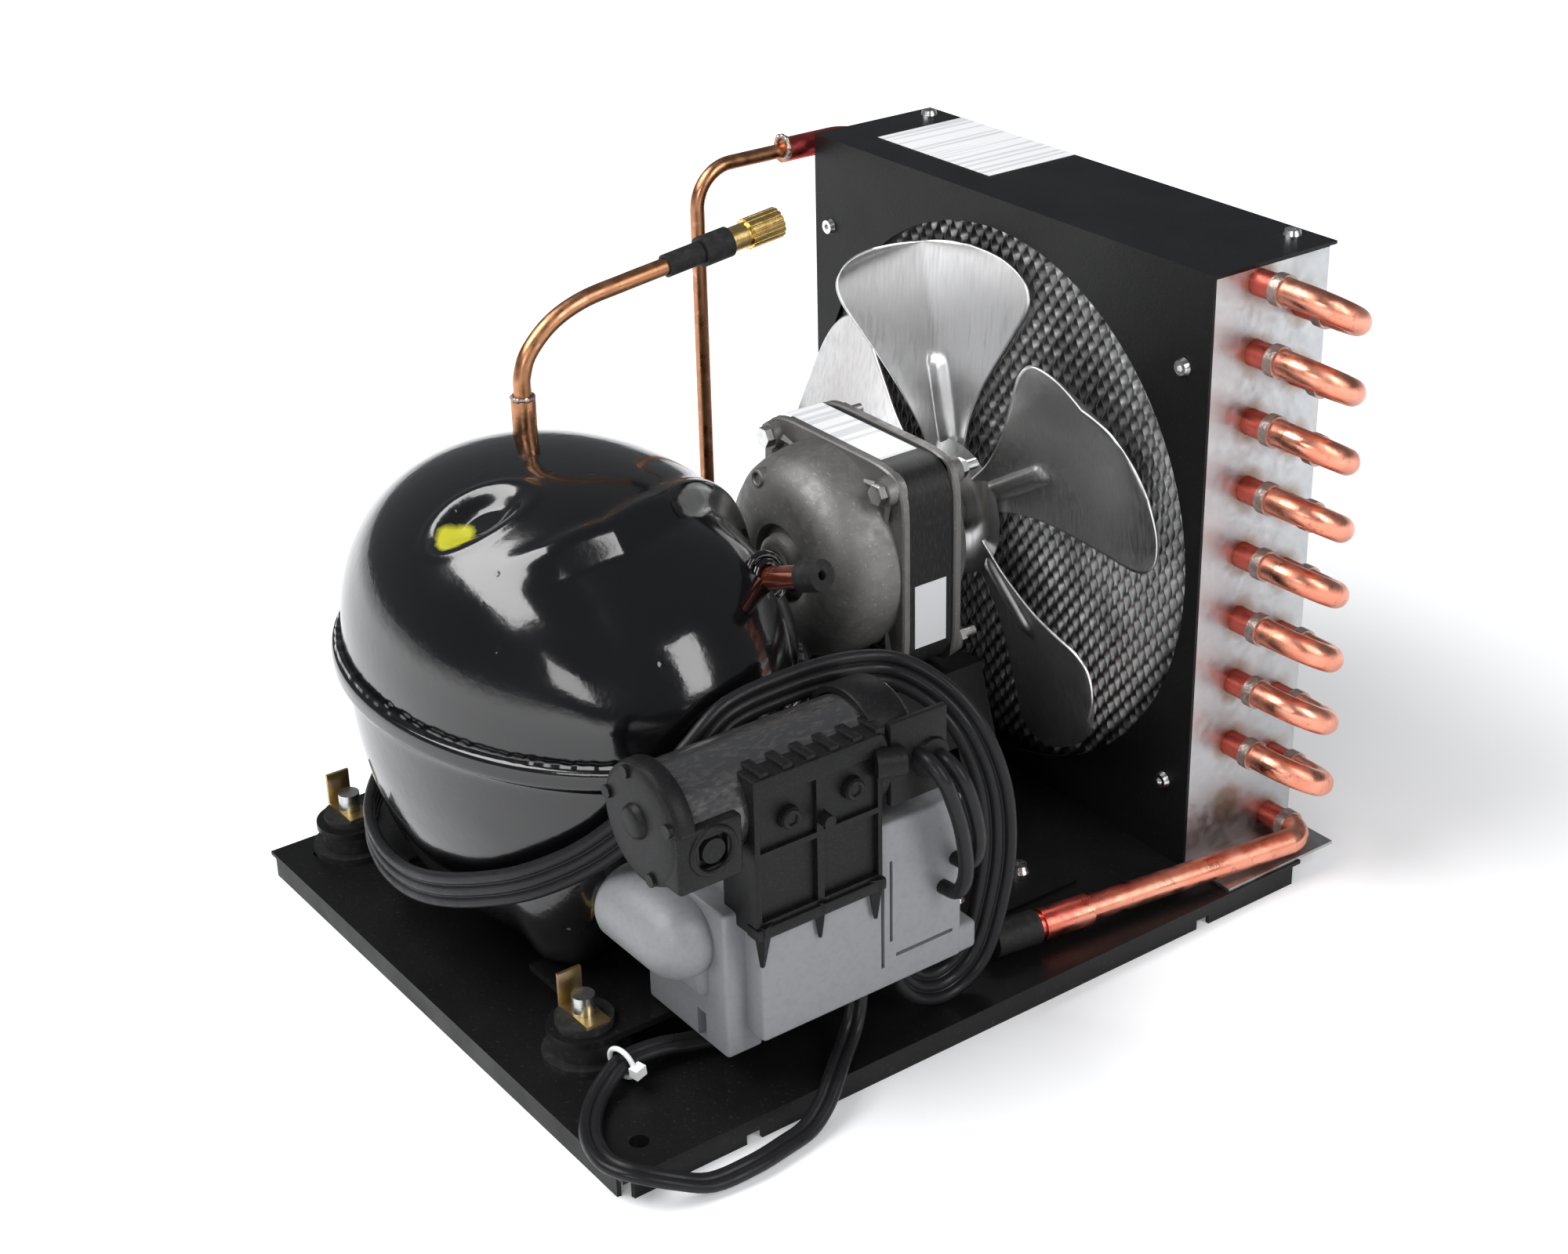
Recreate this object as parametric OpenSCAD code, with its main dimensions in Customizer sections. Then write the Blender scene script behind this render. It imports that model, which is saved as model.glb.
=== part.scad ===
// Air-cooled condensing unit: a hermetic compressor, a shrouded condenser coil and its fan on one base pan.
// The origin is the centre of the base pan's underside. X is the width, Y runs from the compressor to the coil.

/* [Base pan] */
// Width of the pan, across the air flow
base_w = 244.4; // [236:1:262]
// Length of the pan, along the air flow
base_l = 299.6; // [290:1:330]
// Height of the pan's top face over the floor
base_h = 8.8; // [7.8:0.2:10]
// Thickness of the pan's steel sheet
base_t = 1.5; // [1:0.1:2.5]
// Radius of the four corner mounting holes
mount_r = 3.3; // [2.5:0.1:4.5]
// Distance of a mounting hole from the pan's side edge
mount_inset_x = 13.2; // [11:0.2:16]
// Distance of a mounting hole from the pan's end edge
mount_inset_y = 14.8; // [12:0.2:18]

/* [Compressor shell] */
// Distance of the compressor's centre from the pan's middle, across the air flow
comp_side = 24; // [22:0.5:26]
// Distance of the compressor's centre from the pan's compressor end
comp_inset = 77.8; // [77:0.5:82]
// Half of the shell's length, across the air flow
shell_a = 95; // [92:0.5:96]
// Half of the shell's width, along the air flow
shell_b = 72.5; // [70:0.5:73]
// Height of the shell's seam over the floor
seam_z = 110; // [108:0.5:112]
// Height of the shell's dome over its seam
dome_h = 71.5; // [66:0.5:76]
// Height of the shell's bottom over the floor
shell_floor_z = 23; // [22.5:0.5:24]
// Wall of the shell
shell_t = 3; // [2.4:0.1:3.4]
// How far the seam flange stands out of the shell
flange_w = 4; // [3:0.2:4.6]
// Height of the seam flange
flange_h = 6; // [5:0.5:8]

/* [Compressor feet] */
// Distance between the feet's holes across the air flow
foot_dx = 165.1; // [162:0.5:167]
// Distance between the feet's holes along the air flow
foot_dy = 101.6; // [98:0.5:104]
// Radius of a foot's rounded end
foot_r = 13; // [12:0.2:13.6]
// Thickness of the foot plates
foot_t = 2.5; // [2:0.1:3]
// Radius of the grommets' flange on the pan
grommet_r = 15; // [13:0.2:15.2]

/* [Pump] */
// Radius of the pump motor's stator
stator_r = 48; // [44:0.5:50]
// Radius of the pump motor's rotor
rotor_r = 28; // [25:0.5:29]
// Radius of the crankshaft
crank_r = 9; // [8:0.25:10]
// Throw of the crank pin, half of the piston's stroke
crank_throw = 6; // [5:0.25:6.5]
// Radius of the piston
piston_r = 13; // [11:0.25:13.5]
// Distance between the connecting rod's two eyes
conrod_l = 38; // [36:0.5:39]
// Radius of the crank pin
crank_pin_r = 6; // [5:0.25:6.5]

/* [Condenser coil] */
// Pitch between tubes in a row, and between the rows' staggered tubes
tube_pitch = 25.4; // [25:0.1:25.8]
// Outer radius of the coil's tubes
tube_r = 4.76; // [4.2:0.02:4.9]
// Wall of the coil's tubes
tube_t = 0.7; // [0.5:0.05:1]
// Number of tubes in the front row
front_tubes = 8; // [8:1:8]
// Number of fins
fin_count = 27; // [20:1:32]
// Thickness of a fin
fin_t = 0.5; // [0.3:0.05:0.8]
// Distance of the front tube row from the shroud's front face
row_setback = 21.1; // [20.5:0.1:22]
// How far the coil's tubes stand out of an end plate
stub_l = 11; // [9:0.5:14]
// Length of the straight legs of a return bend
bend_leg = 8; // [6:0.5:11]

/* [Shroud] */
// Distance of the shroud's left side from the pan's middle
shroud_left = 122.4; // [120:0.2:123]
// Distance of the shroud's right side from the pan's middle
shroud_right = 97.3; // [94:0.5:99]
// Distance of the shroud's front face from the pan's middle
shroud_front = 112.3; // [112:0.5:116]
// Height of the shroud's top over the floor
shroud_z = 238.6; // [237.5:0.5:244]
// Depth of the shroud's top
shroud_d = 58.7; // [56:0.5:62]
// Thickness of the shroud's sheet
shroud_t = 1.2; // [0.8:0.1:1.6]
// Radius of the shroud's round opening
opening_r = 105.7; // [105:0.2:107]

/* [Fan and its motor] */
// Distance of the fan's axis from the pan's middle
axis_side = 13.5; // [12:0.5:15]
// Height of the fan's axis over the floor
axis_z = 121.4; // [119:0.5:123]
// Radius of the fan
fan_r = 101; // [97:0.5:102.5]
// Number of fan blades
blade_count = 5; // [4:1:6]
// Distance of the fan's middle plane from the shroud's front face
fan_setback = 18; // [17:0.5:20]
// Height of a blade's twist at its outer edge, along the axis
blade_rise = 26; // [18:0.5:30]
// Thickness of the blades
blade_t = 1.4; // [1:0.1:2]
// Side of the fan motor's square core
core_w = 84; // [80:1:88]
// Thickness of the fan motor's core
core_l = 20; // [16:1:22]
// Distance of the core's rear face from the shroud's front face
core_setback = 72.3; // [70:0.5:74]
// Distance between the fan motor's through bolts
bolt_square = 67.5; // [64:0.5:70]
// Thickness of the motor bells' square flanges
bell_flange_t = 3.5; // [2.5:0.25:5]
// Radius of the motor shaft
shaft_r = 3.2; // [2.5:0.1:4]
// Radius of the motor's rotor
motor_rotor_r = 22; // [18:0.5:23]

/* [Refrigerant lines] */
// Outer radius of the discharge line
discharge_r = 2.8; // [2.4:0.1:3.2]
// Outer radius of the service line
service_r = 3.175; // [2.8:0.05:3.4]
// Outer radius of the suction stub
suction_r = 4; // [3.5:0.1:4.6]
// Length of the suction stub that shows
suction_l = 24; // [20:0.5:28]
// Wall of these lines
line_t = 0.8; // [0.6:0.05:1]
// Height of the service line's level stretch over the floor
service_z = 224; // [220:0.5:228]

/* [Electrical] */
// Length of the terminal cover, along the air flow
cover_l = 82; // [80:0.5:84]
// Height of the terminal cover
cover_h = 63; // [60:0.5:64]
// Depth of the terminal cover
cover_d = 41; // [40:0.25:41.5]
// Wall of the terminal cover
cover_t = 2.2; // [1.6:0.1:2.6]
// Distance of the terminal cover's flat face from the pan's middle
cover_face = 115; // [114.6:0.1:115.6]
// Radius of the start capacitor
cap_r = 18.25; // [17:0.25:18.5]
// Length of the start capacitor
cap_l = 92; // [86:0.5:94]
// Wall of the capacitor's carrier
carrier_t = 2.4; // [1.8:0.1:2.6]

/* [Hidden] */

$fn = 48;
// Overrun of every cut, clearance of a brazed or fixed fit, and clearance of a running fit
cut = 1;
fit_gap = 0.05;
run_gap = 0.06;
part_gap = 0.4;
// Lap of a pipe's legs over its elbows, and how much thicker the legs are
elbow_lap = 0.3;
leg_swell = 0.03;

// Base pan: relief at the corners, edge notches, holes for studs and bracket screws
corner_relief = 4;
notch_w = 6;
notch_h = 3.6;
notch_end = 50;
mount_x = base_w / 2 - mount_inset_x;
mount_y = base_l / 2 - mount_inset_y;

// Compressor place and profile; radii are shares of the shell's half length, heights of the lower depth
comp = [-comp_side, comp_inset - base_l / 2];
dome_power = 2.3;
dome_steps = 9;
seam_lap = 4;
lower_shares = [[0.985, 0.74], [0.94, 0.48], [0.86, 0.27], [0.74, 0.1], [0.62, 0]];
depth = seam_z - shell_floor_z;
leg_r = 12;
leg_x = 50;
leg_y = 38;
leg_h = 18;
dimple_r = 26;
dimple_depth = 5;
dimple_place_shares = [0.1, -0.55, 0.885];

// Feet, grommets, studs and clips
foot_z = 18.5;
foot_tongue = 40;
foot_tongue_w = 96;
grommet_base_h = 2.5;
grommet_body_r = 11;
grommet_neck_r = 8;
grommet_lip = 3;
grommet_lip_r = 10;
stud_r = 4;
stud_top = 8;
stud_head_r = 6;
stud_head_h = 3;
clip_w = 9;
clip_t = 1.2;
clip_h = 13;

// Pump: heights over the floor along the crankshaft
stator_z = 50;
stator_h = 40;
air_gap = 0.4;
winding_h = 12;
winding_out = 37;
winding_in = 31;
crank_bottom = 40;
block_z = 103;
block_t = 7;
block_r = 47;
hub_r = 16;
hub_drop = 10;
web_r = 19;
web_t = 6;
web_z = block_z + block_t + part_gap;
bore_z = 127;
pin_top = 11;
cylinder_near = 28;
cylinder_l = 25;
cylinder_w = 38;
cylinder_h = 34;
plate_t = 3;
head_t = 9;
head_w = 32;
piston_l = 20;
rod_h = 8;
rod_wall = 4;
rod_bar_w = 8;
wrist_r = 3;
wrist_play = 1.1;
wrist_l = 22;
small_eye_wall = 2.4;
slot_h = 10;
muffler_l = 30;
muffler_w = 40;
muffler_h = 28;
muffler_near = 26;
muffler_t = 2;
spring_r = 4.5;
spring_t = 1.2;
spring_place = [33.5, 27];
post_block_r = 3.5;
post_block_place = 43;
terminal_z = 60;
terminal_y = 17;
terminal_r = 14;
terminal_t = 8;
terminal_pin_r = 1.2;
terminal_pin_l = 9;
terminal_pin_ring = 6;
fence_r = 18;
fence_t = 1.5;
fence_l = 20;
terminal_face = comp.x + shell_a * 0.94;

// Refrigerant lines
ring_r = 6.6;
ring_w = 3;
suction_root_shares = [0.699, 0.541, 0.565];
suction_az = 10;
suction_tilt = 20;
cap_wall = 1.4;
suction_cap_l = 9;
suction_cap_grip = 6;
cap_hole_r = 1.7;
service_root_shares = [-0.36, 0.12];
service_bend = 20;
service_rise = 7;
service_end_y = 41;
socket_r = 4.6;
socket_l = 14;
sleeve_r = 4.2;
sleeve_l = 15;
boot_r = 5.6;
boot_l = 12;
valve_r = 4.6;
valve_l = 8;
valve_bore_r = 2.4;

valve_core_l = 5;
core_travel = 1.5;
valve_cap_r = 5.8;
valve_cap_l = 14;
valve_cap_grooves = 16;
valve_cap_groove = 0.5;
valve_cap_grip = 6;
valve_thread_r = 3.6;
line_out = 7.5;
line_x = shroud_left + line_out;
drop_y = 60.5;
joint_y = 101;
line_bend = 16;
line_low_z = 64;
discharge_root_shares = [-0.78, 0.66];
joint_r = 5.5;
joint_l = 5;
outlet_end_y = 24;
outlet_in = 21;
outlet_bend = 8;
coupling_r = 5.75;
coupling_from = 38;
coupling_l = 20;
outlet_cap_l = 18;
outlet_cap_t = 1.4;
outlet_cap_from = 20;
outlet_grip = 12;

// Condenser: the lowest fin edge over the pan, the plates' depth and their feet
row_gap = tube_pitch * sqrt(3) / 2;
front_y = shroud_front + row_setback;
back_y = front_y + row_gap;
front_drop = 6.5;
front_z = shroud_z - front_drop;
back_z = front_z - tube_pitch / 2;
fin_front = 13;
fin_back = 11;
fin_edge = 4.2;
fin_side_gap = 1.6;
end_t = 1.2;
end_d = 54;
end_foot = 24;
end_foot_t = 1.2;
braze_w = 2;
hairpin_l = 2;
hairpin_leg = 1;

// Shroud: screws and flanges
lip = 12;
screw_r = 1.8;
screw_head_r = 3.4;
screw_head_h = 1.8;
screw_l = 6;
screw_in = 9.6;
screw_trim = 1.6;
screw_high = 35.7;
screw_low = 31.6;
top_screw_in = 7.5;
top_screw_back = 52;

// Fan motor: bells, coil, bolts and bracket; bell radii are shares of half of the core's side
core_y = shroud_front - core_setback;
core_corner = 13;
bell_l = 26;
front_bell_l = 20;
bell_shares = [[0.83, 0], [0.795, 0.45], [0.67, 0.76], [0.44, 0.93], [0.32, 1]];
bell_wall = 3;
boss_r = 9;
boss_l = 4;
boss_hole_r = 5.2;
lug_r = 5;
lug_l = 7;
rib_t = 2;
rib_h = 4;
core_inset = 1.6;
core_air = 0.5;
core_bore = motor_rotor_r + core_air;
bolt_r = 2;
bolt_head_r = 4;
bolt_head_h = 3;
bolt_out = 9;
nut_r = 3.8;
nut_h = 3.2;
coil_in = 24;
coil_out = 32;
coil_l = 7;
bush_r = 7;
bush_l = 8;
rotor_l = core_l;
shaft_back = 4;
bracket_t = 1.5;
bracket_w = 50;
bracket_ahead = 16;
bracket_y = core_y - bracket_ahead;
bracket_gap = 3;
bracket_z = axis_z - core_w / 2 - bracket_gap;
bracket_top = 78;
bracket_foot_in = 62;
bracket_foot = 34;
bracket_hole_r = 2.2;
bracket_screw_pitch = 31;
bracket_screw_y = 7;
bracket_screw_x = 16;
bracket_head_r = 4.2;
bracket_head_h = 2.6;
tab_w = 10;
tab_h = 9;
leg_slot = 18;

// Fan: half widths of a blade in degrees and its rise, as shares, at stations along the blade
blade_stations = [0.2, 0.32, 0.46, 0.6, 0.74, 0.86, 0.94, 0.985, 1];
blade_lead = [20, 17, 18, 20, 22.5, 24, 22.5, 17, 9];
blade_trail = [20, 19, 22, 26, 29, 30.5, 28, 21, 11];
blade_rise_shares = [0.16, 0.28, 0.46, 0.66, 0.84, 0.96, 0.98, 0.86, 0.62];
blade_across = [1, 0.6, 0.2, -0.2, -0.6, -1];
blade_camber = 2.5;
blade_phase = 103;
fan_y = shroud_front - fan_setback;
spider_r = 26;
spider_t = 2;
fan_hub_r = 9;
fan_hub_l = 16;
shaft_nose = 3;

// Terminal cover, capacitor and carrier
cover_z = 29.5;
cover_y = -90;
bulge_r = 14;
bulge_out = 13;
bulge_z = 32;
bulge_back = 16;
bulge_l = 32;
nose_in = 0.1;
side_out = 8;
side_back = 14;
side_l = 46;
side_drop = 8;
side_h = 54.5;
side_in = 5;
side_slot = 29;
side_slot_w = 5;
side_slot_h = 11.5;
groove_w = 3;
groove_y = 44;
groove_deep = 1.2;
ledge_z = 6;
ledge_l = 18;
ledge_out = 5;
relay_d = 26;
relay_l = 30;
relay_h = 34;
relay_y = 44;
relay_z = 16;
overload_r = 10;
overload_l = 14;
overload_y = 16;
overload_z = 30;
cap_in = 18;
cap_over = 1.2;
cap_ahead = 27;
cap_x = cover_face - cap_in;
cap_z = cover_z + cover_h + cap_r + carrier_t + cap_over;
cap_y = cover_y - cap_ahead;
cap_rim = 1;
cap_rim_l = 4;
cup_l = 9;
cup_end = 2.2;
strap_l = 14;
strap_from = 12;
cradle_l = 92;
arm_y = 8;
arm_l = 28;
arm_h = 34;
arm_boss_r = 10;
window_r = 5.4;
window_ring_r = 9;
frame_y = 30;
frame_l = 50;
frame_low = 44;
frame_t = 2.6;
frame_rim = 3.4;
post_r = 3.6;
post_hole_r = 1.3;
post_y_shares = [0.28, 0.77];
post_drop = 5;
boss_drop = 11;
ear_y = 80;
ear_l = 23;
ear_h = 26;
ear_low = 13;
foot_clip_h = 16;
foot_clip_w = 6;

// Lead routes: points of each lead's middle line
fan_lead_route = [[-13.5, 24.2, 86.5], [-13.5, 18.3, 78.4], [-17, 11, 66], [-26, 5.5, 57], [-42, 1, 50],
    [-62, -4.5, 46.5], [-82, -14.5, 45], [-97.5, -30, 45], [-107.5, -49, 44], [-111.5, -72, 43],
    [-107, -95, 42], [-94.5, -114, 41], [-75.5, -129.5, 38.5], [-53.5, -137.5, 38], [-31, -140.5, 40],
    [-8, -140.5, 46.5], [15, -135.8, 55.5], [37.5, -128.5, 67], [55, -116.5, 80], [67, -105, 94.5],
    [75, -97, 108], [77, -86.3, 119], [75.3, -72, 127], [75.3, -50, 129], [76.5, -30, 128.5],
    [81, -13, 126], [91, -4, 121], [101, 2, 112], [107, 7, 98], [110, 10.5, 80], [110, 11.5, 58],
    [109, 8, 36], [108, 3.5, 22.5], [107.3, -3.5, 16], [107, -12, 14.2], [106.4, -20.5, 17.5],
    [106, -26, 24], [106, -27, 29.5]];
hug_last = 24;
jumper_route = [[108, -47, 29.5], [108.6, -47.9, 23.5], [111, -51.6, 17.2], [114.8, -57.3, 13.9],
    [119, -62.8, 13], [123.8, -68.8, 11.8], [128.4, -76.4, 7.6], [131.8, -85.5, 4.2], [134, -97, 4],
    [135.5, -110, 4], [134.5, -125, 4], [131.2, -137, 8.6], [124.8, -147, 12.2], [115.5, -151, 12.4],
    [104, -149, 12], [94, -143.5, 11.6], [85, -134.5, 12.5], [79.5, -122, 16], [79, -108, 15.5],
    [81.5, -95.5, 14], [84.5, -87, 14.5], [86.8, -80, 19], [87.8, -76.8, 24.5], [88, -76.5, 29.5]];
cap_lead_a = [[117.8, -29, 116], [123.5, -28.8, 115.2], [127.8, -27.6, 111.3], [129.3, -25.3, 105],
    [129, -20.5, 91], [127.6, -17, 76], [126, -16.5, 66.8], [122, -16.5, 61.4], [115.1, -16.5, 60]];
cap_lead_b = [[117.8, -21, 113], [123.5, -20.8, 112.2], [127.5, -19.4, 108.2], [128.8, -17.2, 102],
    [128.7, -14, 92], [127.5, -11.6, 82], [125.4, -11.2, 74.6], [121.6, -11.2, 70.3], [115.1, -11.2, 69]];
lead_flat = [13, 4.4];
jumper_flat = [7.6, 4];
cap_lead_r = 2.6;
jumper_side = [3, 2, 0];
fan_lead_start = [0, -0.59, -0.81];
far_rings = 5;
lead_sides = 8;
tie_point = 17;
tie_r = 5.4;
tie_wire = 0.9;

function unit(v) = v / norm(v);
function mix(a, b, t) = a * (1 - t) + b * t;
// Direction along a route at point i, and normals carried along the route without twist
function heading(p, i) = unit(p[min(i + 1, len(p) - 1)] - p[max(i - 1, 0)]);
function level_off(n, t) = unit(n - (n * t) * t);
function carried(p, n, i = 0) = i == len(p) ? [] :
    let (m = level_off(n, heading(p, i))) concat([m], carried(p, m, i + 1));
// Point k of a ring with flat size w by h
function ring_point(w, h, k, sides) =
    let (a = 360 * (k + 0.5) / sides) [w / 2 * cos(a) / cos(180 / sides), h / 2 * sin(a) / cos(180 / sides)];

// Wide side of the fan lead: flat along the compressor up to point hug_last, then carried on
function hugging(p, i) = unit(cross(heading(p, i),
    [(p[i].x - comp.x) / pow(shell_a, 2), (p[i].y - comp.y) / pow(shell_b, 2), 0]));
function fan_lead_normals(p) = let (first = [for (i = [0 : hug_last]) hugging(p, i)],
    rest = carried([for (i = [hug_last : len(p) - 1]) p[i]], first[hug_last]))
    concat(first, [for (i = [1 : len(rest) - 1]) rest[i]]);

// The least gap between two stretches of a lead that are far apart along it
function self_gap(route, width) = min([for (i = [0 : len(route) - 1]) for (j = [i + far_rings : 1 : len(route) - 1])
    norm(route[i] - route[j])]) - width;

// A swept lead: rings of the given flat size along a route, closed at both ends, its ends square to the given aims
module lead(route, size, normals, ends) {
    sides = lead_sides;
    count = len(route);
    function aim(i) = i == 0 ? unit(ends[0]) : i == count - 1 ? unit(ends[1]) : heading(route, i);
    points = [for (i = [0 : count - 1], k = [0 : sides - 1])
        let (n = level_off(normals[i], aim(i)), b = cross(aim(i), n), q = ring_point(size[0], size[1], k, sides))
        route[i] + q[0] * n + q[1] * b];
    wall = [for (i = [0 : count - 2], k = [0 : sides - 1])
        let (a = i * sides + k, b = i * sides + (k + 1) % sides)
        each [[a, a + sides, b], [b, a + sides, b + sides]]];
    first = [for (k = [1 : sides - 2]) [0, k, k + 1]];
    tail = (count - 1) * sides;
    last = [for (k = [1 : sides - 2]) [tail, tail + k + 1, tail + k]];
    polyhedron(points, concat(first, wall, last));
}

// Children placed in the frame whose third axis is the direction z
module facing(origin, z) {
    n = unit(z);
    side = abs(n.z) > 0.9 ? [1, 0, 0] : [0, 0, 1];
    x = unit(cross(side, n));
    y = cross(n, x);
    multmatrix([[x.x, y.x, n.x, origin.x], [x.y, y.y, n.y, origin.y], [x.z, y.z, n.z, origin.z]])
        children();
}

// Cylinder of radius r from point a to point b
module stick(a, b, r) facing(a, b - a) cylinder(r = r, h = norm(b - a));

// Quarter or part turn of a pipe at corner c, between directions d and e
module elbow(c, d, e, bend, r) {
    turn = acos(d * e);
    start = c - d * bend * tan(turn / 2);
    inward = unit(e - (e * d) * d);
    middle = start + inward * bend;
    z = cross(-inward, d);
    multmatrix([[-inward.x, d.x, z.x, middle.x], [-inward.y, d.y, z.y, middle.y],
        [-inward.z, d.z, z.z, middle.z]])
        rotate_extrude(angle = turn) translate([bend, 0]) circle(r = r);
}

// Solid pipe run along straight legs with round elbows at the corners; a leg is a trace thicker than an elbow
// and laps over its ends
module run(p, bend, r) {
    last = len(p) - 1;
    function leg(i) = unit(p[i + 1] - p[i]);
    function back_off(i) = i == 0 || i == last ? 0 : bend * tan(acos(leg(i - 1) * leg(i)) / 2) - elbow_lap;
    for (i = [0 : last - 1])
        stick(p[i] + leg(i) * back_off(i), p[i + 1] - leg(i) * back_off(i + 1), r + (last > 1 ? leg_swell : 0));
    if (last > 1) for (i = [1 : last - 1]) elbow(p[i], leg(i - 1), leg(i), bend, r);
}

// Hollow pipe run
module pipe(p, bend, r, wall) {
    difference() {
        run(p, bend, r);
        run(p, bend, r - wall);
    }
}

// Cylinders along X and along Y, from the local origin
module rod_x(r, l) rotate([0, 90, 0]) cylinder(r = r, h = l);
module rod_y(r, l) rotate([-90, 0, 0]) cylinder(r = r, h = l);

// Box from corner a to corner b
module box(a, b) translate(a) cube(b - a);

// Square with round corners, extruded along Y from y = 0
module round_square_y(w, corner, l) {
    rotate([-90, 0, 0]) linear_extrude(l) rounded_square(w, corner);
}

module rounded_square(w, corner) {
    square([w - 2 * corner, w], center = true);
    square([w, w - 2 * corner], center = true);
    for (x = [-1, 1], y = [-1, 1]) translate([x, y] * (w / 2 - corner)) circle(r = corner);
}

// Children at the compressor's centre, and copies at its four feet
module at_comp() translate([comp.x, comp.y, 0]) children();
module at_feet() at_comp() for (x = [-1, 1], y = [-1, 1]) translate([x * foot_dx / 2, y * foot_dy / 2, 0])
    children();
module at_axis(y) translate([-axis_side, y, axis_z]) children();

module base_plate() {
    color([0.09, 0.09, 0.1]) difference() {
        union() {
            difference() {
                box([-base_w / 2, -base_l / 2, 0], [base_w / 2, base_l / 2, base_h]);
                box([base_t - base_w / 2, base_t - base_l / 2, -cut],
                    [base_w / 2 - base_t, base_l / 2 - base_t, base_h - base_t]);
            }
            for (x = [-1, 1], y = [-1, 1]) translate([x * mount_x, y * mount_y, 0])
                cylinder(r = mount_r + base_t, h = base_h - base_t / 2);
        }
        for (x = [-1, 1], y = [-1, 1]) translate([x * base_w / 2, y * base_l / 2, -cut])
            cylinder(r = corner_relief, h = base_h - base_t + cut);
        for (y = [-1, 1]) translate([0, y * (base_l / 2 - notch_end), 0])
            cube([base_w + 2 * cut, notch_w, 2 * notch_h], center = true);
        for (x = [-1, 1], y = [-1, 1]) translate([x * mount_x, y * mount_y, -cut])
            cylinder(r = mount_r, h = base_h + 2 * cut);
        at_feet() cylinder(r = stud_r + fit_gap, h = base_h + cut);
        bracket_screw_places() cylinder(r = bracket_hole_r, h = base_h + cut);
    }
}

// Half profile of a dome with half length a and height h, from its rim to its top
function dome_profile(a, h) = [for (k = [0 : dome_steps]) let (t = 90 * k / dome_steps)
    [a * pow(cos(t), 2 / dome_power), h * pow(sin(t), 2 / dome_power)]];
function lower_profile(a, wall) = [for (s = lower_shares)
    [a * s[0] - wall, shell_floor_z + max(s[1] * depth, wall)]];

// Solid of the dome, wall in from the outer face
module dome(wall) {
    a = shell_a - wall;
    at_comp() translate([0, 0, seam_z + flange_h / 2]) scale([1, (shell_b - wall) / a, 1])
        rotate_extrude() polygon(concat([[0, 0]], dome_profile(a, dome_h - flange_h / 2 - wall)));
}

// Straight band of the shell at the seam
module band(wall, low, high) {
    a = shell_a - wall;
    at_comp() translate([0, 0, low]) scale([1, (shell_b - wall) / a, 1]) cylinder(r = a, h = high - low);
}

module dimple(extra) {
    p = [dimple_place_shares[0] * shell_a, dimple_place_shares[1] * shell_b, dimple_place_shares[2] * dome_h];
    out = unit([p.x / pow(shell_a, 2), p.y / pow(shell_b, 2), p.z / pow(dome_h, 2)]);
    at_comp() translate([0, 0, seam_z] + p + out * (dimple_r - dimple_depth)) sphere(r = dimple_r + extra);
}

module compressor_upper_shell() {
    color([0.03, 0.03, 0.035]) difference() {
        union() {
            difference() {
                dome(0);
                dimple(0);
            }
            band(0, seam_z - seam_lap, seam_z + flange_h / 2);
            facing(suction_root() - suction_dir() * ring_w, suction_dir()) cylinder(r = ring_r, h = 2 * ring_w);
        }
        difference() {
            dome(shell_t);
            dimple(shell_t);
        }
        band(shell_t, seam_z - seam_lap - cut, seam_z + flange_h / 2);
        facing(suction_root() - suction_dir() * 4 * ring_w, suction_dir())
            cylinder(r = suction_r + fit_gap, h = 6 * ring_w);
        translate([service_root().x, service_root().y, seam_z + flange_h])
            cylinder(r = service_r + fit_gap, h = dome_h);
    }
}

// Solid of the lower shell's cup, wall in from the outer face
module lower_cup(wall) {
    a = shell_a - wall;
    floor_z = shell_floor_z + wall;
    p = lower_profile(shell_a, wall);
    at_comp() scale([1, (shell_b - wall) / a, 1]) rotate_extrude()
        polygon(concat([[0, floor_z]], [for (i = [len(p) - 1 : -1 : 0]) p[i]],
            [[a, seam_z - seam_lap], [0, seam_z - seam_lap]]));
}

module compressor_lower_shell() {
    color([0.03, 0.03, 0.035]) difference() {
        union() {
            lower_cup(0);
            band(-flange_w, seam_z - seam_lap - part_gap, seam_z + flange_h / 2);
            at_comp() for (x = [-1, 1], y = [-1, 1]) translate([x * leg_x, y * leg_y, foot_z + foot_t])
                cylinder(r = leg_r, h = leg_h);
            translate([terminal_face - fence_l, comp.y + terminal_y, terminal_z]) rod_x(fence_r, fence_l + terminal_t);
        }
        lower_cup(shell_t);
        band(shell_t, seam_z - seam_lap - cut, seam_z + flange_h);
        band(-part_gap / 2, seam_z - seam_lap, seam_z + flange_h);
        translate([terminal_face - 2 * fence_l, comp.y + terminal_y, terminal_z])
            rod_x(fence_r - fence_t, 2 * fence_l - terminal_t / 2);
        translate([terminal_face - fence_l, comp.y + terminal_y, terminal_z])
            rod_x(terminal_r + fit_gap, 2 * fence_l);
        translate([terminal_face + terminal_t / 4, comp.y + terminal_y, terminal_z])
            rod_x(fence_r - fence_t, 2 * fence_l);
        stick(discharge_root() + [-cut, cut, 0] * 6, discharge_root() - [-cut, cut, 0] * 12,
            discharge_r + fit_gap);
    }
}

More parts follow.
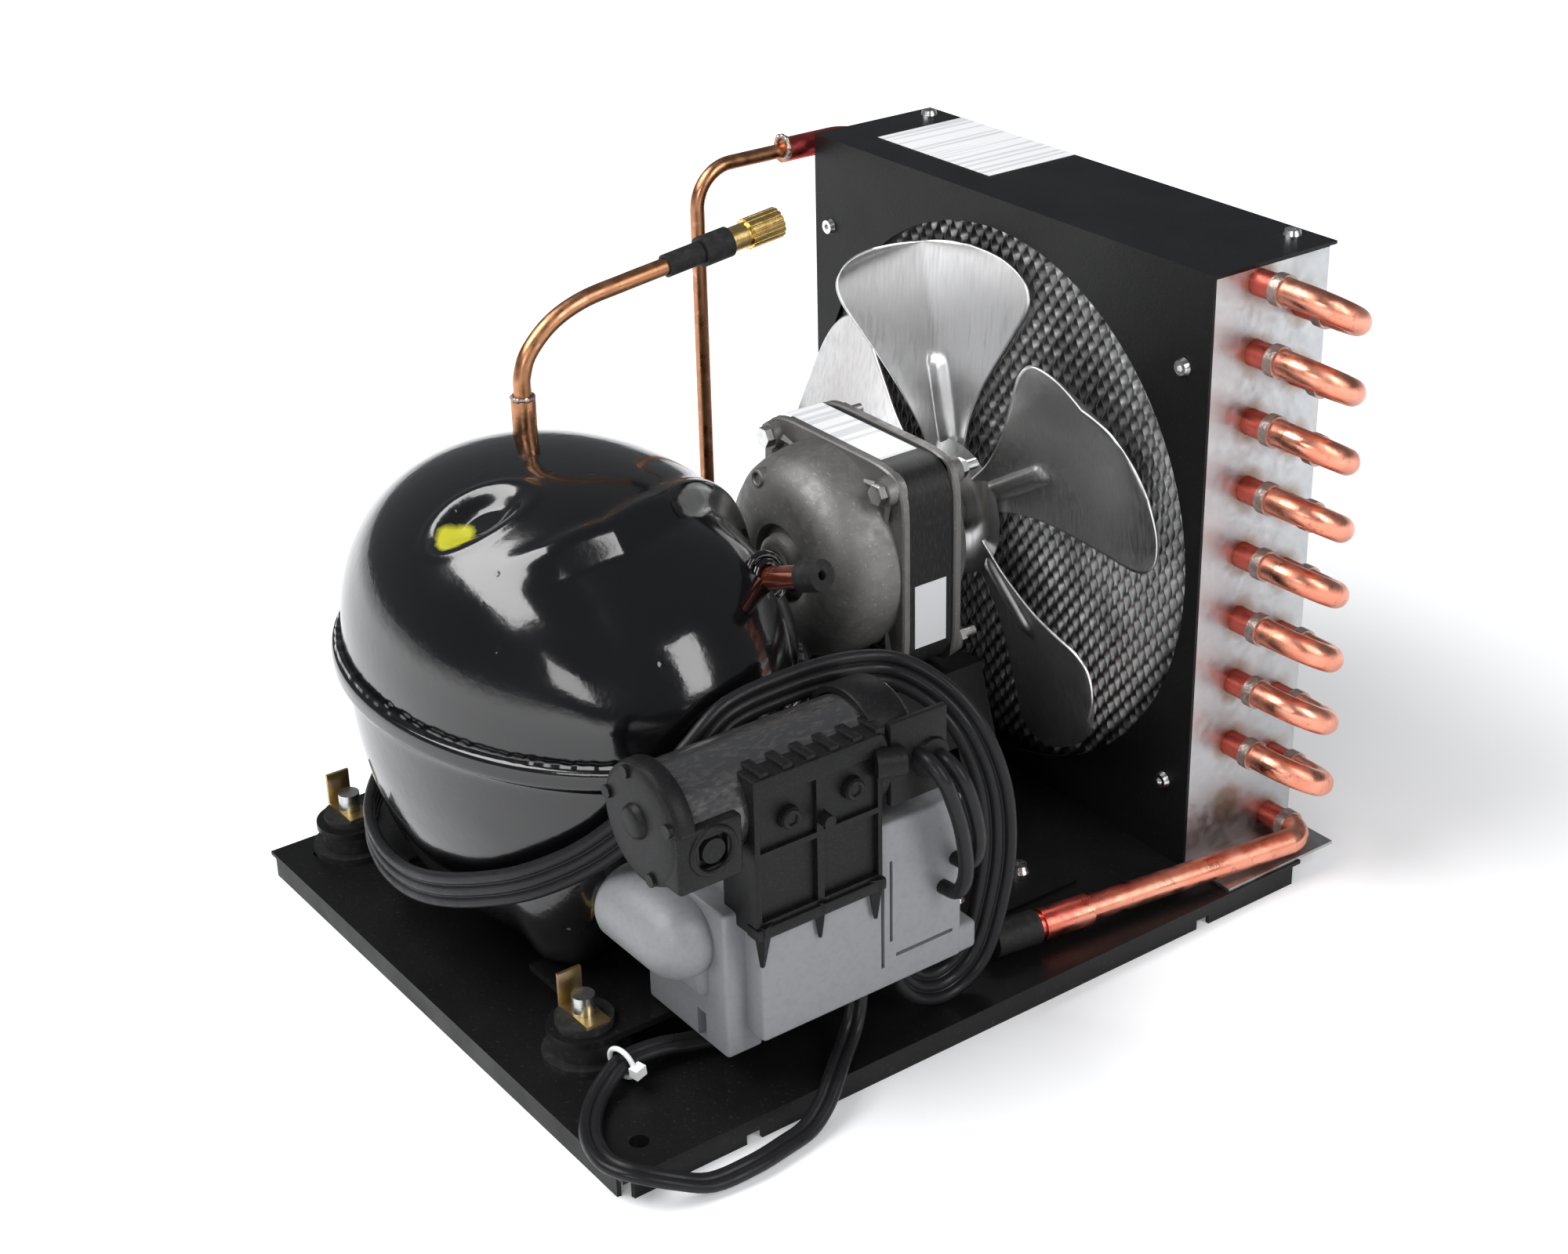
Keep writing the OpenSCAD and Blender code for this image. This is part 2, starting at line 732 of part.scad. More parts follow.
module foot_plates() {
    color([0.06, 0.06, 0.06]) at_comp() for (side = [-1, 1]) scale([side, 1, 1])
        translate([foot_dx / 2, 0, foot_z]) difference() {
            union() {
                for (y = [-1, 1]) translate([0, y * foot_dy / 2, 0]) cylinder(r = foot_r, h = foot_t);
                box([-foot_r, -foot_dy / 2, 0], [foot_r, foot_dy / 2, foot_t]);
                box([-foot_tongue, -foot_tongue_w / 2, 0], [0, foot_tongue_w / 2, foot_t]);
            }
            for (y = [-1, 1]) translate([0, y * foot_dy / 2, -cut])
                cylinder(r = grommet_neck_r + fit_gap, h = foot_t + 2 * cut);
        }
}

module foot_grommets() {
    color([0.1, 0.1, 0.1]) at_feet() difference() {
        union() {
            translate([0, 0, base_h]) cylinder(r = grommet_r, h = grommet_base_h);
            translate([0, 0, base_h]) cylinder(r = grommet_body_r, h = foot_z - base_h);
            translate([0, 0, base_h]) cylinder(r = grommet_neck_r, h = foot_z - base_h + foot_t + grommet_lip);
            translate([0, 0, foot_z + foot_t]) cylinder(r = grommet_lip_r, h = grommet_lip);
        }
        translate([0, 0, base_h - cut]) cylinder(r = stud_r + fit_gap, h = foot_z + foot_t + grommet_lip);
    }
}

module foot_studs() {
    top = foot_z + foot_t + grommet_lip;
    color([0.75, 0.72, 0.6]) at_feet() {
        translate([0, 0, base_h - base_t - stud_head_h]) cylinder(r = stud_head_r, h = stud_head_h);
        translate([0, 0, base_h - base_t]) cylinder(r = stud_r, h = top + stud_top - base_h + base_t);
    }
}

module foot_clips() {
    z = foot_z + foot_t + grommet_lip;
    color([0.75, 0.6, 0.25]) at_feet() difference() {
        union() {
            box([-clip_w, -clip_w / 2, z], [clip_w, clip_w / 2, z + clip_t]);
            box([-clip_w, -clip_w / 2, z], [clip_t - clip_w, clip_w / 2, z + clip_h]);
        }
        translate([0, 0, z - cut]) cylinder(r = stud_r + fit_gap, h = clip_t + 2 * cut);
    }
}

module stator_core() {
    color([0.4, 0.42, 0.45]) at_comp() translate([0, 0, stator_z]) difference() {
        cylinder(r = stator_r, h = stator_h);
        translate([0, 0, -cut]) cylinder(r = rotor_r + air_gap, h = stator_h + 2 * cut);
    }
}

module stator_windings() {
    color([0.7, 0.35, 0.15]) at_comp() for (z = [stator_z - winding_h, stator_z + stator_h])
        translate([0, 0, z]) difference() {
            cylinder(r = winding_out, h = winding_h);
            translate([0, 0, -cut]) cylinder(r = winding_in, h = winding_h + 2 * cut);
        }
}

module compressor_rotor() {
    color([0.6, 0.6, 0.62]) at_comp() translate([0, 0, stator_z]) difference() {
        cylinder(r = rotor_r, h = stator_h);
        translate([0, 0, -cut]) cylinder(r = crank_r + fit_gap, h = stator_h + 2 * cut);
    }
}

module crankshaft() {
    color([0.5, 0.5, 0.52]) at_comp() difference() {
        union() {
            translate([0, 0, crank_bottom]) cylinder(r = crank_r, h = web_z - crank_bottom);
            translate([0, 0, web_z]) cylinder(r = web_r, h = web_t);
            translate([0, crank_throw, web_z + web_t]) cylinder(r = crank_pin_r, h = pin_top + rod_h / 2);
        }
        translate([0, 0, crank_bottom - cut]) cylinder(r = crank_r / 3, h = stator_h);
    }
}

module cylinder_block() {
    color([0.45, 0.45, 0.46]) at_comp() difference() {
        union() {
            translate([0, 0, block_z]) cylinder(r = block_r, h = block_t);
            translate([0, 0, block_z - hub_drop]) cylinder(r = hub_r, h = hub_drop);
            for (a = [45 : 90 : 315]) rotate([0, 0, a]) translate([post_block_place, 0, stator_z + stator_h])
                cylinder(r = post_block_r, h = block_z - stator_z - stator_h);
            box([-cylinder_near - cylinder_l, -cylinder_w / 2, block_z],
                [-cylinder_near, cylinder_w / 2, bore_z + cylinder_h / 2]);
        }
        translate([0, 0, block_z - hub_drop - cut]) cylinder(r = crank_r + run_gap, h = hub_drop + block_t + 2 * cut);
        translate([-cylinder_near - cylinder_l - cut, 0, bore_z])
            rod_x(piston_r + run_gap, cylinder_l + 2 * cut);
    }
}

module valve_plate() {
    color([0.6, 0.62, 0.65]) at_comp() difference() {
        box([-cylinder_near - cylinder_l - plate_t, -head_w / 2, bore_z - head_w / 2],
            [-cylinder_near - cylinder_l, head_w / 2, bore_z + head_w / 2]);
        for (y = [-1, 1]) translate([-cylinder_near - cylinder_l - plate_t - cut, y * piston_r / 2, bore_z])
            rod_x(piston_r / 6, plate_t + 2 * cut);
    }
}

module cylinder_head() {
    x = -cylinder_near - cylinder_l - plate_t;
    wall = head_t / 4;
    color([0.65, 0.66, 0.68]) at_comp() difference() {
        box([x - head_t, -head_w / 2, bore_z - head_w / 2], [x, head_w / 2, bore_z + head_w / 2]);
        for (y = [-1, 1]) translate([x - head_t + wall, y * head_w / 4, bore_z])
            translate([0, wall - head_w / 4, wall - head_w / 2])
            cube([head_t, head_w / 2 - 2 * wall, head_w - 2 * wall]);
    }
}

// Distance from the crank's axis to the wrist pin, at mid stroke
function wrist_x() = sqrt(pow(conrod_l, 2) - pow(crank_throw, 2));

module connecting_rod() {
    a = [0, crank_throw, bore_z];
    b = [-wrist_x(), 0, bore_z];
    d = unit(b - a);
    eye = crank_pin_r + rod_wall;
    small = wrist_r + wrist_play + small_eye_wall;
    color([0.55, 0.55, 0.57]) at_comp() difference() {
        union() {
            translate(a - [0, 0, rod_h / 2]) cylinder(r = eye, h = rod_h);
            translate(b - [0, 0, rod_h / 2]) cylinder(r = small, h = rod_h);
            translate(mix(a, b, 0.5)) rotate([0, 0, atan2(d.y, d.x)])
                cube([conrod_l - small, rod_bar_w, rod_h], center = true);
        }
        translate(a - [0, 0, rod_h]) cylinder(r = crank_pin_r + run_gap, h = 2 * rod_h);
        translate(b - [0, 0, rod_h]) cylinder(r = wrist_r + wrist_play, h = 2 * rod_h);
    }
}

module piston() {
    color([0.7, 0.7, 0.72]) at_comp() translate([-wrist_x() - piston_l / 2, 0, bore_z]) difference() {
        rod_x(piston_r, piston_l);
        translate([piston_l / 2 - wrist_r - 2 * wrist_play - small_eye_wall - part_gap, -piston_r, -slot_h / 2])
            cube([piston_l, 2 * piston_r, slot_h]);
        translate([piston_l / 2, 0, -wrist_l / 2 - cut]) cylinder(r = wrist_r + fit_gap, h = wrist_l + 2 * cut);
    }
}

module wrist_pin() {
    color([0.8, 0.8, 0.82]) at_comp() translate([-wrist_x(), 0, bore_z - wrist_l / 2])
        cylinder(r = wrist_r, h = wrist_l);
}

module suction_muffler() {
    color([0.85, 0.83, 0.75]) at_comp() translate([muffler_near, -muffler_w / 2, block_z + block_t]) difference() {
        cube([muffler_l, muffler_w, muffler_h]);
        translate([muffler_t, muffler_t, muffler_t])
            cube([muffler_l - 2 * muffler_t, muffler_w - 2 * muffler_t, muffler_h]);
    }
}

module suspension_springs() {
    color([0.6, 0.6, 0.6]) at_comp() for (x = [-1, 1], y = [-1, 1])
        translate([x * spring_place.x, y * spring_place.y, shell_floor_z + shell_t]) difference() {
            cylinder(r = spring_r, h = stator_z - shell_floor_z - shell_t);
            translate([0, 0, -cut]) cylinder(r = spring_r - spring_t, h = stator_z);
        }
}

module hermetic_terminal() {
    color([0.7, 0.7, 0.7]) translate([terminal_face - terminal_t / 2, comp.y + terminal_y, terminal_z]) {
        rod_x(terminal_r, terminal_t);
        for (a = [90, 210, 330]) translate([-terminal_pin_l, terminal_pin_ring * cos(a), terminal_pin_ring * sin(a)])
            rod_x(terminal_pin_r, terminal_t + 2 * terminal_pin_l);
    }
}

// Where the suction stub leaves the dome, and its direction
function suction_root() = [comp.x + suction_root_shares[0] * shell_a, comp.y + suction_root_shares[1] * shell_b,
    seam_z + suction_root_shares[2] * dome_h];
function suction_dir() = [cos(suction_az) * cos(suction_tilt), sin(suction_az) * cos(suction_tilt),
    sin(suction_tilt)];

module suction_stub() {
    color([0.6, 0.25, 0.12]) facing(suction_root() - suction_dir() * ring_w, suction_dir()) difference() {
        cylinder(r = suction_r, h = suction_l + ring_w);
        translate([0, 0, -cut]) cylinder(r = suction_r - line_t, h = suction_l + ring_w + 2 * cut);
    }
}

module suction_cap() {
    start = suction_root() + suction_dir() * (suction_l - suction_cap_grip);
    color([0.1, 0.1, 0.1]) facing(start, suction_dir()) difference() {
        cylinder(r = suction_r + cap_wall, h = suction_cap_l);
        translate([0, 0, -cut]) cylinder(r = suction_r + fit_gap, h = suction_cap_grip + fit_gap + cut);
        cylinder(r = cap_hole_r, h = suction_cap_l + cut);
    }
}

// The service line: up from the dome, round one bend and along the air flow with a slight rise
function service_root() = [comp.x + service_root_shares[0] * shell_a, comp.y + service_root_shares[1] * shell_b,
    seam_z + dome_h * 0.94];
function service_dir() = [0, cos(service_rise), sin(service_rise)];
function service_corner() = [service_root().x, service_root().y,
    service_z - tan(service_rise) * (comp_inset - base_l / 2 - service_root().y) - service_bend / 3];
function service_at(y) = service_corner() + service_dir() * (y - service_corner().y) / cos(service_rise);
valve_start = service_end_y - valve_cap_l - valve_l + valve_cap_grip;

module service_line() {
    root = service_root() - [0, 0, 2 * shell_t];
    top = service_at(valve_start);
    color([0.72, 0.45, 0.25]) difference() {
        union() {
            run([root, service_corner(), top], service_bend, service_r);
            translate(service_root() + [0, 0, dome_h * 0.02]) cylinder(r = socket_r, h = socket_l);
        }
        run([root - [0, 0, cut], service_corner(), top + service_dir() * cut], service_bend,
            service_r - line_t);
    }
}

module service_sleeves() {
    boot = service_at(valve_start) - service_dir() * boot_l;
    color([0.05, 0.05, 0.05]) {
        facing(boot - service_dir() * (sleeve_l + part_gap), service_dir()) difference() {
            cylinder(r = sleeve_r, h = sleeve_l);
            translate([0, 0, -cut]) cylinder(r = service_r + fit_gap, h = sleeve_l + 2 * cut);
        }
        facing(boot, service_dir()) difference() {
            cylinder(r = boot_r, h = boot_l);
            translate([0, 0, -cut]) cylinder(r = service_r + fit_gap, h = boot_l + 2 * cut);
        }
    }
}

module access_valve_body() {
    color([0.75, 0.6, 0.3]) facing(service_at(valve_start), service_dir()) difference() {
        union() {
            cylinder(r = valve_r, h = valve_l);
            translate([0, 0, valve_l]) cylinder(r = valve_thread_r, h = valve_cap_grip);
        }
        translate([0, 0, -cut]) cylinder(r = valve_bore_r, h = valve_l + valve_cap_grip + 2 * cut);
    }
}

module access_valve_core() {
    start = service_at(valve_start) + service_dir() * (valve_l + valve_cap_grip - valve_core_l - core_travel / 2);
    color([0.8, 0.7, 0.4]) facing(start, service_dir()) cylinder(r = valve_bore_r - run_gap, h = valve_core_l);
}

module access_valve_cap() {
    start = service_at(valve_start) + service_dir() * (valve_l + run_gap);
    color([0.82, 0.66, 0.3]) facing(start, service_dir()) difference() {
        cylinder(r = valve_cap_r, h = valve_cap_l);
        translate([0, 0, -cut]) cylinder(r = valve_thread_r + run_gap, h = valve_cap_grip + 2 * cut);
        for (k = [1 : valve_cap_grooves]) rotate([0, 0, 360 * k / valve_cap_grooves])
            translate([valve_cap_r, 0, -cut]) cylinder(r = valve_cap_groove, h = valve_cap_l + 2 * cut);
    }
}

function discharge_root() = [comp.x + discharge_root_shares[0] * shell_a, comp.y + discharge_root_shares[1] * shell_b,
    line_low_z];

module discharge_line() {
    high = front_z;
    route = [discharge_root(), discharge_root() + [-1, 1, 0] * line_bend, [-line_x, drop_y, line_low_z],
        [-line_x, drop_y, high], [-line_x, joint_y, high]];
    wide = [[-line_x, joint_y, high], [-line_x, front_y, high], [end_t - shroud_left, front_y, high]];
    color([0.7, 0.4, 0.22]) {
        pipe(route, line_bend, discharge_r, line_t);
        pipe(wide, line_x - shroud_left, tube_r, tube_t);
        difference() {
            stick(wide[0], wide[0] + [0, joint_l, 0], tube_r - tube_t);
            stick(wide[0] - [0, cut, 0], wide[0] + [0, joint_l + cut, 0], discharge_r - line_t);
        }
    }
}

function outlet_points() =
    let (z = back_z - front_tubes * tube_pitch, x = shroud_right + end_t + stub_l)
    [[x, back_y, z], [x + 1.25 * outlet_bend, back_y, z], [base_w / 2 - outlet_in, outlet_end_y, z]];

module condenser_outlet_line() {
    p = outlet_points();
    d = unit(p[2] - p[1]);
    from = p[2] + (p[1] - p[2]) * (coupling_from - outlet_end_y) / (p[1].y - p[2].y);
    color([0.75, 0.42, 0.28]) difference() {
        union() {
            run(p, outlet_bend, tube_r);
            stick(from, from - d * coupling_l, coupling_r);
        }
        run([p[0] - [cut, 0, 0], p[1], p[2] + d * cut], outlet_bend, tube_r - tube_t);
    }
}

module outlet_cap() {
    p = outlet_points();
    d = unit(p[2] - p[1]);
    start = p[2] - d * outlet_grip;
    color([0.08, 0.08, 0.08]) facing(start, d) difference() {
        cylinder(r = tube_r + outlet_cap_t, h = outlet_cap_l);
        translate([0, 0, -cut]) cylinder(r = tube_r + fit_gap, h = outlet_grip + fit_gap + cut);
    }
}

// Places of the coil's tubes: the front row, then the back row with one tube more
function tube_places() = concat([for (i = [0 : front_tubes - 1]) [front_y, front_z - i * tube_pitch]],
    [for (i = [0 : front_tubes]) [back_y, back_z - i * tube_pitch]]);

module condenser_tubes() {
    left = shroud_left + hairpin_l;
    color([0.72, 0.4, 0.28]) for (k = [0 : 2 * front_tubes]) let (p = tube_places()[k])
        let (from = k == 0 ? shroud_left - end_t : left)
        translate([-from, p[0], p[1]]) difference() {
            rod_x(tube_r, from + shroud_right + end_t + stub_l);
            translate([-cut, 0, 0]) rod_x(tube_r - tube_t, from + shroud_right + end_t + stub_l + 2 * cut);
        }
}

module condenser_fins() {
    low = base_h + fin_edge;
    high = shroud_z - shroud_t - part_gap;
    from = -shroud_left + end_t + fin_side_gap;
    pitch = (shroud_right - fin_side_gap - fin_t - from) / (fin_count - 1);
    color([0.75, 0.77, 0.8]) for (i = [0 : fin_count - 1]) translate([from + i * pitch, 0, 0]) difference() {
        box([0, front_y - fin_front, low], [fin_t, back_y + fin_back, high]);
        for (p = tube_places()) translate([-cut, p[0], p[1]]) rod_x(tube_r + fit_gap, fin_t + 2 * cut);
    }
}

// An end plate at x, with its foot turned out by the given length
module end_plate(x, foot) {
    y = shroud_front + shroud_t;
    difference() {
        union() {
            box([x, y, base_h], [x + end_t, y + end_d, shroud_z - shroud_t - part_gap / 2]);
            box([min(x, x + foot), y, base_h], [max(x + end_t, x + foot), y + end_d, base_h + end_foot_t]);
        }
        for (p = tube_places()) translate([x - cut, p[0], p[1]]) rod_x(tube_r + fit_gap, end_t + 2 * cut);
        translate([mount_x, mount_y, 0]) cylinder(r = mount_r, h = base_h + end_foot_t + cut);
        translate([-mount_x, mount_y, 0]) cylinder(r = mount_r, h = base_h + end_foot_t + cut);
    }
}

module left_end_plate() color([0.7, 0.71, 0.72]) end_plate(-shroud_left, end_foot);
module right_end_plate() color([0.7, 0.71, 0.72]) end_plate(shroud_right, end_foot);

// Return bend with straight legs from tube a to tube b; side is 1 on the right and -1 on the left
module return_bend(x, side, a, b, leg) {
    gap = [0, b[0] - a[0], b[1] - a[1]];
    mid = [x, (a[0] + b[0]) / 2, (a[1] + b[1]) / 2];
    out = [side, 0, 0];
    arm = unit(gap);
    z = cross(arm, out);
    far = mid + out * leg;
    start = [x, a[0], a[1]];
    finish = [x, b[0], b[1]];
    difference() {
        union() {
            stick(start, start + out * (leg + elbow_lap), tube_r + leg_swell);
            stick(finish, finish + out * (leg + elbow_lap), tube_r + leg_swell);
            multmatrix([[arm.x, out.x, z.x, far.x], [arm.y, out.y, z.y, far.y], [arm.z, out.z, z.z, far.z]])
                rotate_extrude(angle = 180) translate([norm(gap) / 2, 0]) circle(r = tube_r);
        }
        stick(start - out * cut, start + out * leg / 2, tube_r - tube_t);
        stick(finish - out * cut, finish + out * leg / 2, tube_r - tube_t);
    }
}

module return_bends() {
    p = tube_places();
    n = front_tubes;
    right = shroud_right + end_t + stub_l;
    left = -shroud_left - hairpin_l;
    color([0.75, 0.42, 0.3]) {
        for (i = [0 : n - 1]) return_bend(right, 1, p[i], p[n + i], bend_leg);
        for (i = [0 : n - 2]) return_bend(left, -1, p[n + i], p[i + 1], hairpin_leg);
        return_bend(left, -1, p[2 * n - 1], p[2 * n], hairpin_leg);
    }
}

module braze_rings() {
    p = tube_places();
    right = shroud_right + end_t + stub_l - braze_w;
    color([0.65, 0.6, 0.58]) for (k = [0 : 2 * front_tubes]) translate([right, p[k][0], p[k][1]]) braze_ring();
}

module braze_ring() difference() {
    rod_x(tube_r + braze_w / 2, 2 * braze_w);
    translate([-cut, 0, 0]) rod_x(tube_r + 2 * fit_gap, 2 * braze_w + 2 * cut);
}

// Shroud screws: four on the front face about the opening's axis, two on the top
screw_half = shroud_right + axis_side - screw_in - screw_trim;
module front_screw_places() for (s = [-1, 1]) {
    translate([s * screw_half - axis_side, shroud_front, shroud_z - screw_high]) children();
    translate([s * screw_half - axis_side, shroud_front, base_h + screw_low]) children();
}
module top_screw_places() {
    y = shroud_front + top_screw_back;
    translate([top_screw_in - shroud_left, y, shroud_z]) children();
    translate([shroud_right - 1.8 * top_screw_in, y, shroud_z]) children();
}

module shroud() {
    color([0.06, 0.06, 0.065]) difference() {
        union() {
            box([-shroud_left, shroud_front, base_h], [shroud_right + end_t, shroud_front + shroud_t, shroud_z]);
            box([-shroud_left, shroud_front, shroud_z - shroud_t],
                [shroud_right + end_t, shroud_front + shroud_d, shroud_z]);
        }
        at_axis(shroud_front - cut) rod_y(opening_r, shroud_t + 2 * cut);
        front_screw_places() translate([0, -cut, 0]) rod_y(screw_r, shroud_t + 2 * cut);
        top_screw_places() translate([0, 0, -shroud_t - cut]) cylinder(r = screw_r, h = shroud_t + 2 * cut);
    }
}

module screw(l) {
    translate([0, 0, -l]) cylinder(r = screw_r - fit_gap, h = l);
    difference() {
        cylinder(r1 = screw_head_r, r2 = screw_head_r * 0.8, h = screw_head_h);
        translate([0, 0, screw_head_h * 0.4]) cylinder(r = screw_head_r * 0.4, h = screw_head_h, $fn = 6);
    }
}

module shroud_screws() {
    color([0.8, 0.8, 0.82]) {
        front_screw_places() rotate([90, 0, 0]) screw(screw_l);
        top_screw_places() screw(shroud_t);
    }
}

// Solid of a bell, turned about Y and starting at its flange; wall in from the outer face
module bell_form(l, wall) {
    h = bolt_square * sqrt(2) / 2;
    rotate([-90, 0, 0]) rotate_extrude()
        polygon(concat([[0, 0]], [for (s = bell_shares) [h * s[0] - wall, s[1] * l - (s[1] > 0 ? wall : 0)]],
            [[0, l - wall]]));
}

module bolt_places() for (x = [-1, 1], z = [-1, 1]) translate([x, 0, z] * bolt_square / 2) children();

// A bell with its flange against the core at y = 0 and its dome towards +Y
module bell(l, hole_r) {
    difference() {
        union() {
            bell_form(l, 0);
            round_square_y(core_w, core_corner, bell_flange_t);
            translate([0, l - boss_l, 0]) rod_y(boss_r, 2 * boss_l);
            bolt_places() rod_y(lug_r, lug_l);
            for (a = [45 : 90 : 315]) rotate([0, a, 0]) translate([0, 0, -rib_t / 2])
                cube([core_w * 0.47, lug_l, rib_t]);
        }
        translate([0, -cut, 0])
            rod_y(bolt_square * sqrt(2) / 2 * bell_shares[1][0] - bell_wall, bell_flange_t + cut);
        bell_form(l, bell_wall);
        translate([0, -cut, 0]) rod_y(hole_r, 2 * l);
        bolt_places() translate([0, -cut, 0]) rod_y(bolt_r + fit_gap, lug_l + 2 * cut);
    }
}

module motor_rear_bell() color([0.6, 0.6, 0.6]) at_axis(core_y) rotate([0, 0, 180]) bell(bell_l, bush_r + fit_gap);

module motor_front_bell() {
    color([0.6, 0.6, 0.6]) at_axis(core_y + core_l) bell(front_bell_l, bush_r + fit_gap);
}

module motor_core() {
    color([0.08, 0.08, 0.09]) at_axis(core_y) difference() {
        round_square_y(core_w - 2 * core_inset, core_corner, core_l);
        translate([0, -cut, 0]) rod_y(core_bore, core_l + 2 * cut);
        bolt_places() translate([0, -cut, 0]) rod_y(bolt_r + fit_gap, core_l + 2 * cut);
    }
}

module motor_coil() {
    color([0.7, 0.4, 0.2]) for (y = [core_y - coil_l, core_y + core_l]) at_axis(y) difference() {
        rod_y(coil_out, coil_l);
        translate([0, -cut, 0]) rod_y(coil_in, coil_l + 2 * cut);
    }
}

module motor_rotor() {
    color([0.55, 0.55, 0.57]) at_axis(core_y) difference() {
        rod_y(motor_rotor_r, rotor_l);
        translate([0, -cut, 0]) rod_y(shaft_r + fit_gap, rotor_l + 2 * cut);
    }
}

module motor_shaft() {
    from = core_y - bell_l + shaft_back;
    color([0.75, 0.75, 0.77]) at_axis(from) rod_y(shaft_r, fan_y + fan_hub_l / 2 + shaft_nose - from);
}

module motor_bushes() {
    color([0.6, 0.45, 0.25]) for (y = [core_y - bell_l - boss_l / 2, core_y + core_l + front_bell_l - boss_l])
        at_axis(y) difference() {
            rod_y(bush_r, bush_l);
            translate([0, -cut, 0]) rod_y(shaft_r + run_gap, bush_l + 2 * cut);
        }
}

module motor_through_bolts() {
    from = core_y - lug_l;
    color([0.8, 0.8, 0.82]) at_axis(0) for (x = [-1, 1], z = [-1, 1])
        let (seat = z < 0 ? from - bracket_t - fit_gap : from)
        translate([x * bolt_square / 2, seat, z * bolt_square / 2]) {
            translate([0, -bolt_head_h, 0]) rotate([-90, 0, 0])
                cylinder(r = bolt_head_r, h = bolt_head_h, $fn = 6);
            rod_y(bolt_r, core_y + core_l + lug_l + bolt_out - seat);
        }
}

module motor_nuts() {
    color([0.8, 0.8, 0.82]) at_axis(core_y + core_l + lug_l) bolt_places() rotate([-90, 0, 0]) difference() {
        cylinder(r = nut_r, h = nut_h, $fn = 6);
        translate([0, 0, -cut]) cylinder(r = bolt_r + fit_gap, h = nut_h + 2 * cut);
    }
}

module bracket_screw_places() for (s = [-1, 1], y = [0, 1])
    translate([s * (bracket_foot_in + bracket_screw_x) - axis_side, bracket_y + bracket_screw_y
        + y * bracket_screw_pitch, 0]) children();

// Sheet bracket: a shelf under the core, two sloped legs with a slot, two feet and two upright tabs
module motor_bracket() {
    half = bracket_top / 2;
    t = bracket_t;
    foot_top = base_h + t;
    outline = [[-half, bracket_z], [half, bracket_z], [bracket_foot_in, base_h],
        [bracket_foot_in + bracket_foot, base_h], [bracket_foot_in + bracket_foot, foot_top],
        [bracket_foot_in + t, foot_top], [half + t, bracket_z + t], [-half - t, bracket_z + t],
        [-bracket_foot_in - t, foot_top], [-bracket_foot_in - bracket_foot, foot_top],
        [-bracket_foot_in - bracket_foot, base_h], [-bracket_foot_in, base_h]];
    color([0.07, 0.07, 0.07]) difference() {
        union() {
            translate([-axis_side, bracket_y + bracket_w, 0]) rotate([90, 0, 0])
                linear_extrude(bracket_w) polygon(outline);
            for (s = [-1, 1]) translate([s * bolt_square / 2 - axis_side - tab_w / 2, core_y - lug_l - t,
                bracket_z + t / 2]) cube([tab_w, t, tab_h + (core_w - bolt_square) / 2]);
        }
        for (s = [-1, 1]) translate([s * (half + bracket_foot_in) / 2 - axis_side, bracket_y + bracket_w / 2,
            (bracket_z + base_h) / 2]) cube([bracket_foot_in, bracket_w - 2 * leg_slot, leg_slot], center = true);
        at_axis(0) bolt_places() translate([0, core_y - lug_l - 2 * t, 0]) rod_y(bolt_r + fit_gap, 2 * t + cut);
        bracket_screw_places() cylinder(r = bracket_hole_r, h = foot_top + cut);
    }
}

module bracket_screws() {
    z = base_h + bracket_t;
    color([0.8, 0.8, 0.82]) bracket_screw_places() {
        translate([0, 0, base_h - base_t - cut]) cylinder(r = bracket_hole_r - fit_gap, h = z - base_h + base_t + cut);
        difference() {
            translate([0, 0, z]) cylinder(r1 = bracket_head_r, r2 = bracket_head_r * 0.7, h = bracket_head_h);
            for (a = [0, 90]) translate([0, 0, z + bracket_head_h]) rotate([0, 0, a])
                cube([bracket_head_r, bracket_head_r / 5, bracket_head_h], center = true);
        }
    }
}

// One blade as a thin twisted shell; angles are about the fan's axis
module blade() {
    rows = len(blade_stations);
    cols = len(blade_across);
    function place(i, j, side) =
        let (v = blade_across[j], r = fan_r * blade_stations[i])
        let (a = v > 0 ? v * blade_lead[i] : v * blade_trail[i])
        [r * cos(a), -blade_rise / 2 * v * blade_rise_shares[i] + blade_camber * (1 - v * v) + side * blade_t / 2,
            r * sin(a)];
    points = [for (side = [-1, 1], i = [0 : rows - 1], j = [0 : cols - 1]) place(i, j, side)];
    half = rows * cols;
    function at(i, j) = i * cols + j;
    skins = [for (i = [0 : rows - 2], j = [0 : cols - 2]) let (a = at(i, j), b = at(i + 1, j), c = at(i + 1, j + 1), d = at(i, j + 1))
        each [[a, b, c], [a, c, d], [half + a, half + c, half + b], [half + a, half + d, half + c]]];
    rim = concat([for (j = [0 : cols - 1]) at(0, j)], [for (i = [1 : rows - 1]) at(i, cols - 1)],
        [for (j = [cols - 2 : -1 : 0]) at(rows - 1, j)], [for (i = [rows - 2 : -1 : 1]) at(i, 0)]);
    edge = [for (k = [0 : len(rim) - 1]) let (a = rim[k], b = rim[(k + 1) % len(rim)])
        each [[a, half + b, half + a], [a, b, half + b]]];
    polyhedron(points, concat(skins, edge));
}

module fan_blades() {
    color([0.78, 0.79, 0.8]) at_axis(fan_y) {
        for (k = [0 : blade_count - 1]) rotate([0, -blade_phase + k * 360 / blade_count, 0]) blade();
        difference() {
            translate([0, -spider_t / 2, 0]) rod_y(spider_r, spider_t);
            translate([0, -spider_t, 0]) rod_y(fan_hub_r + fit_gap, 2 * spider_t);
        }
    }
}

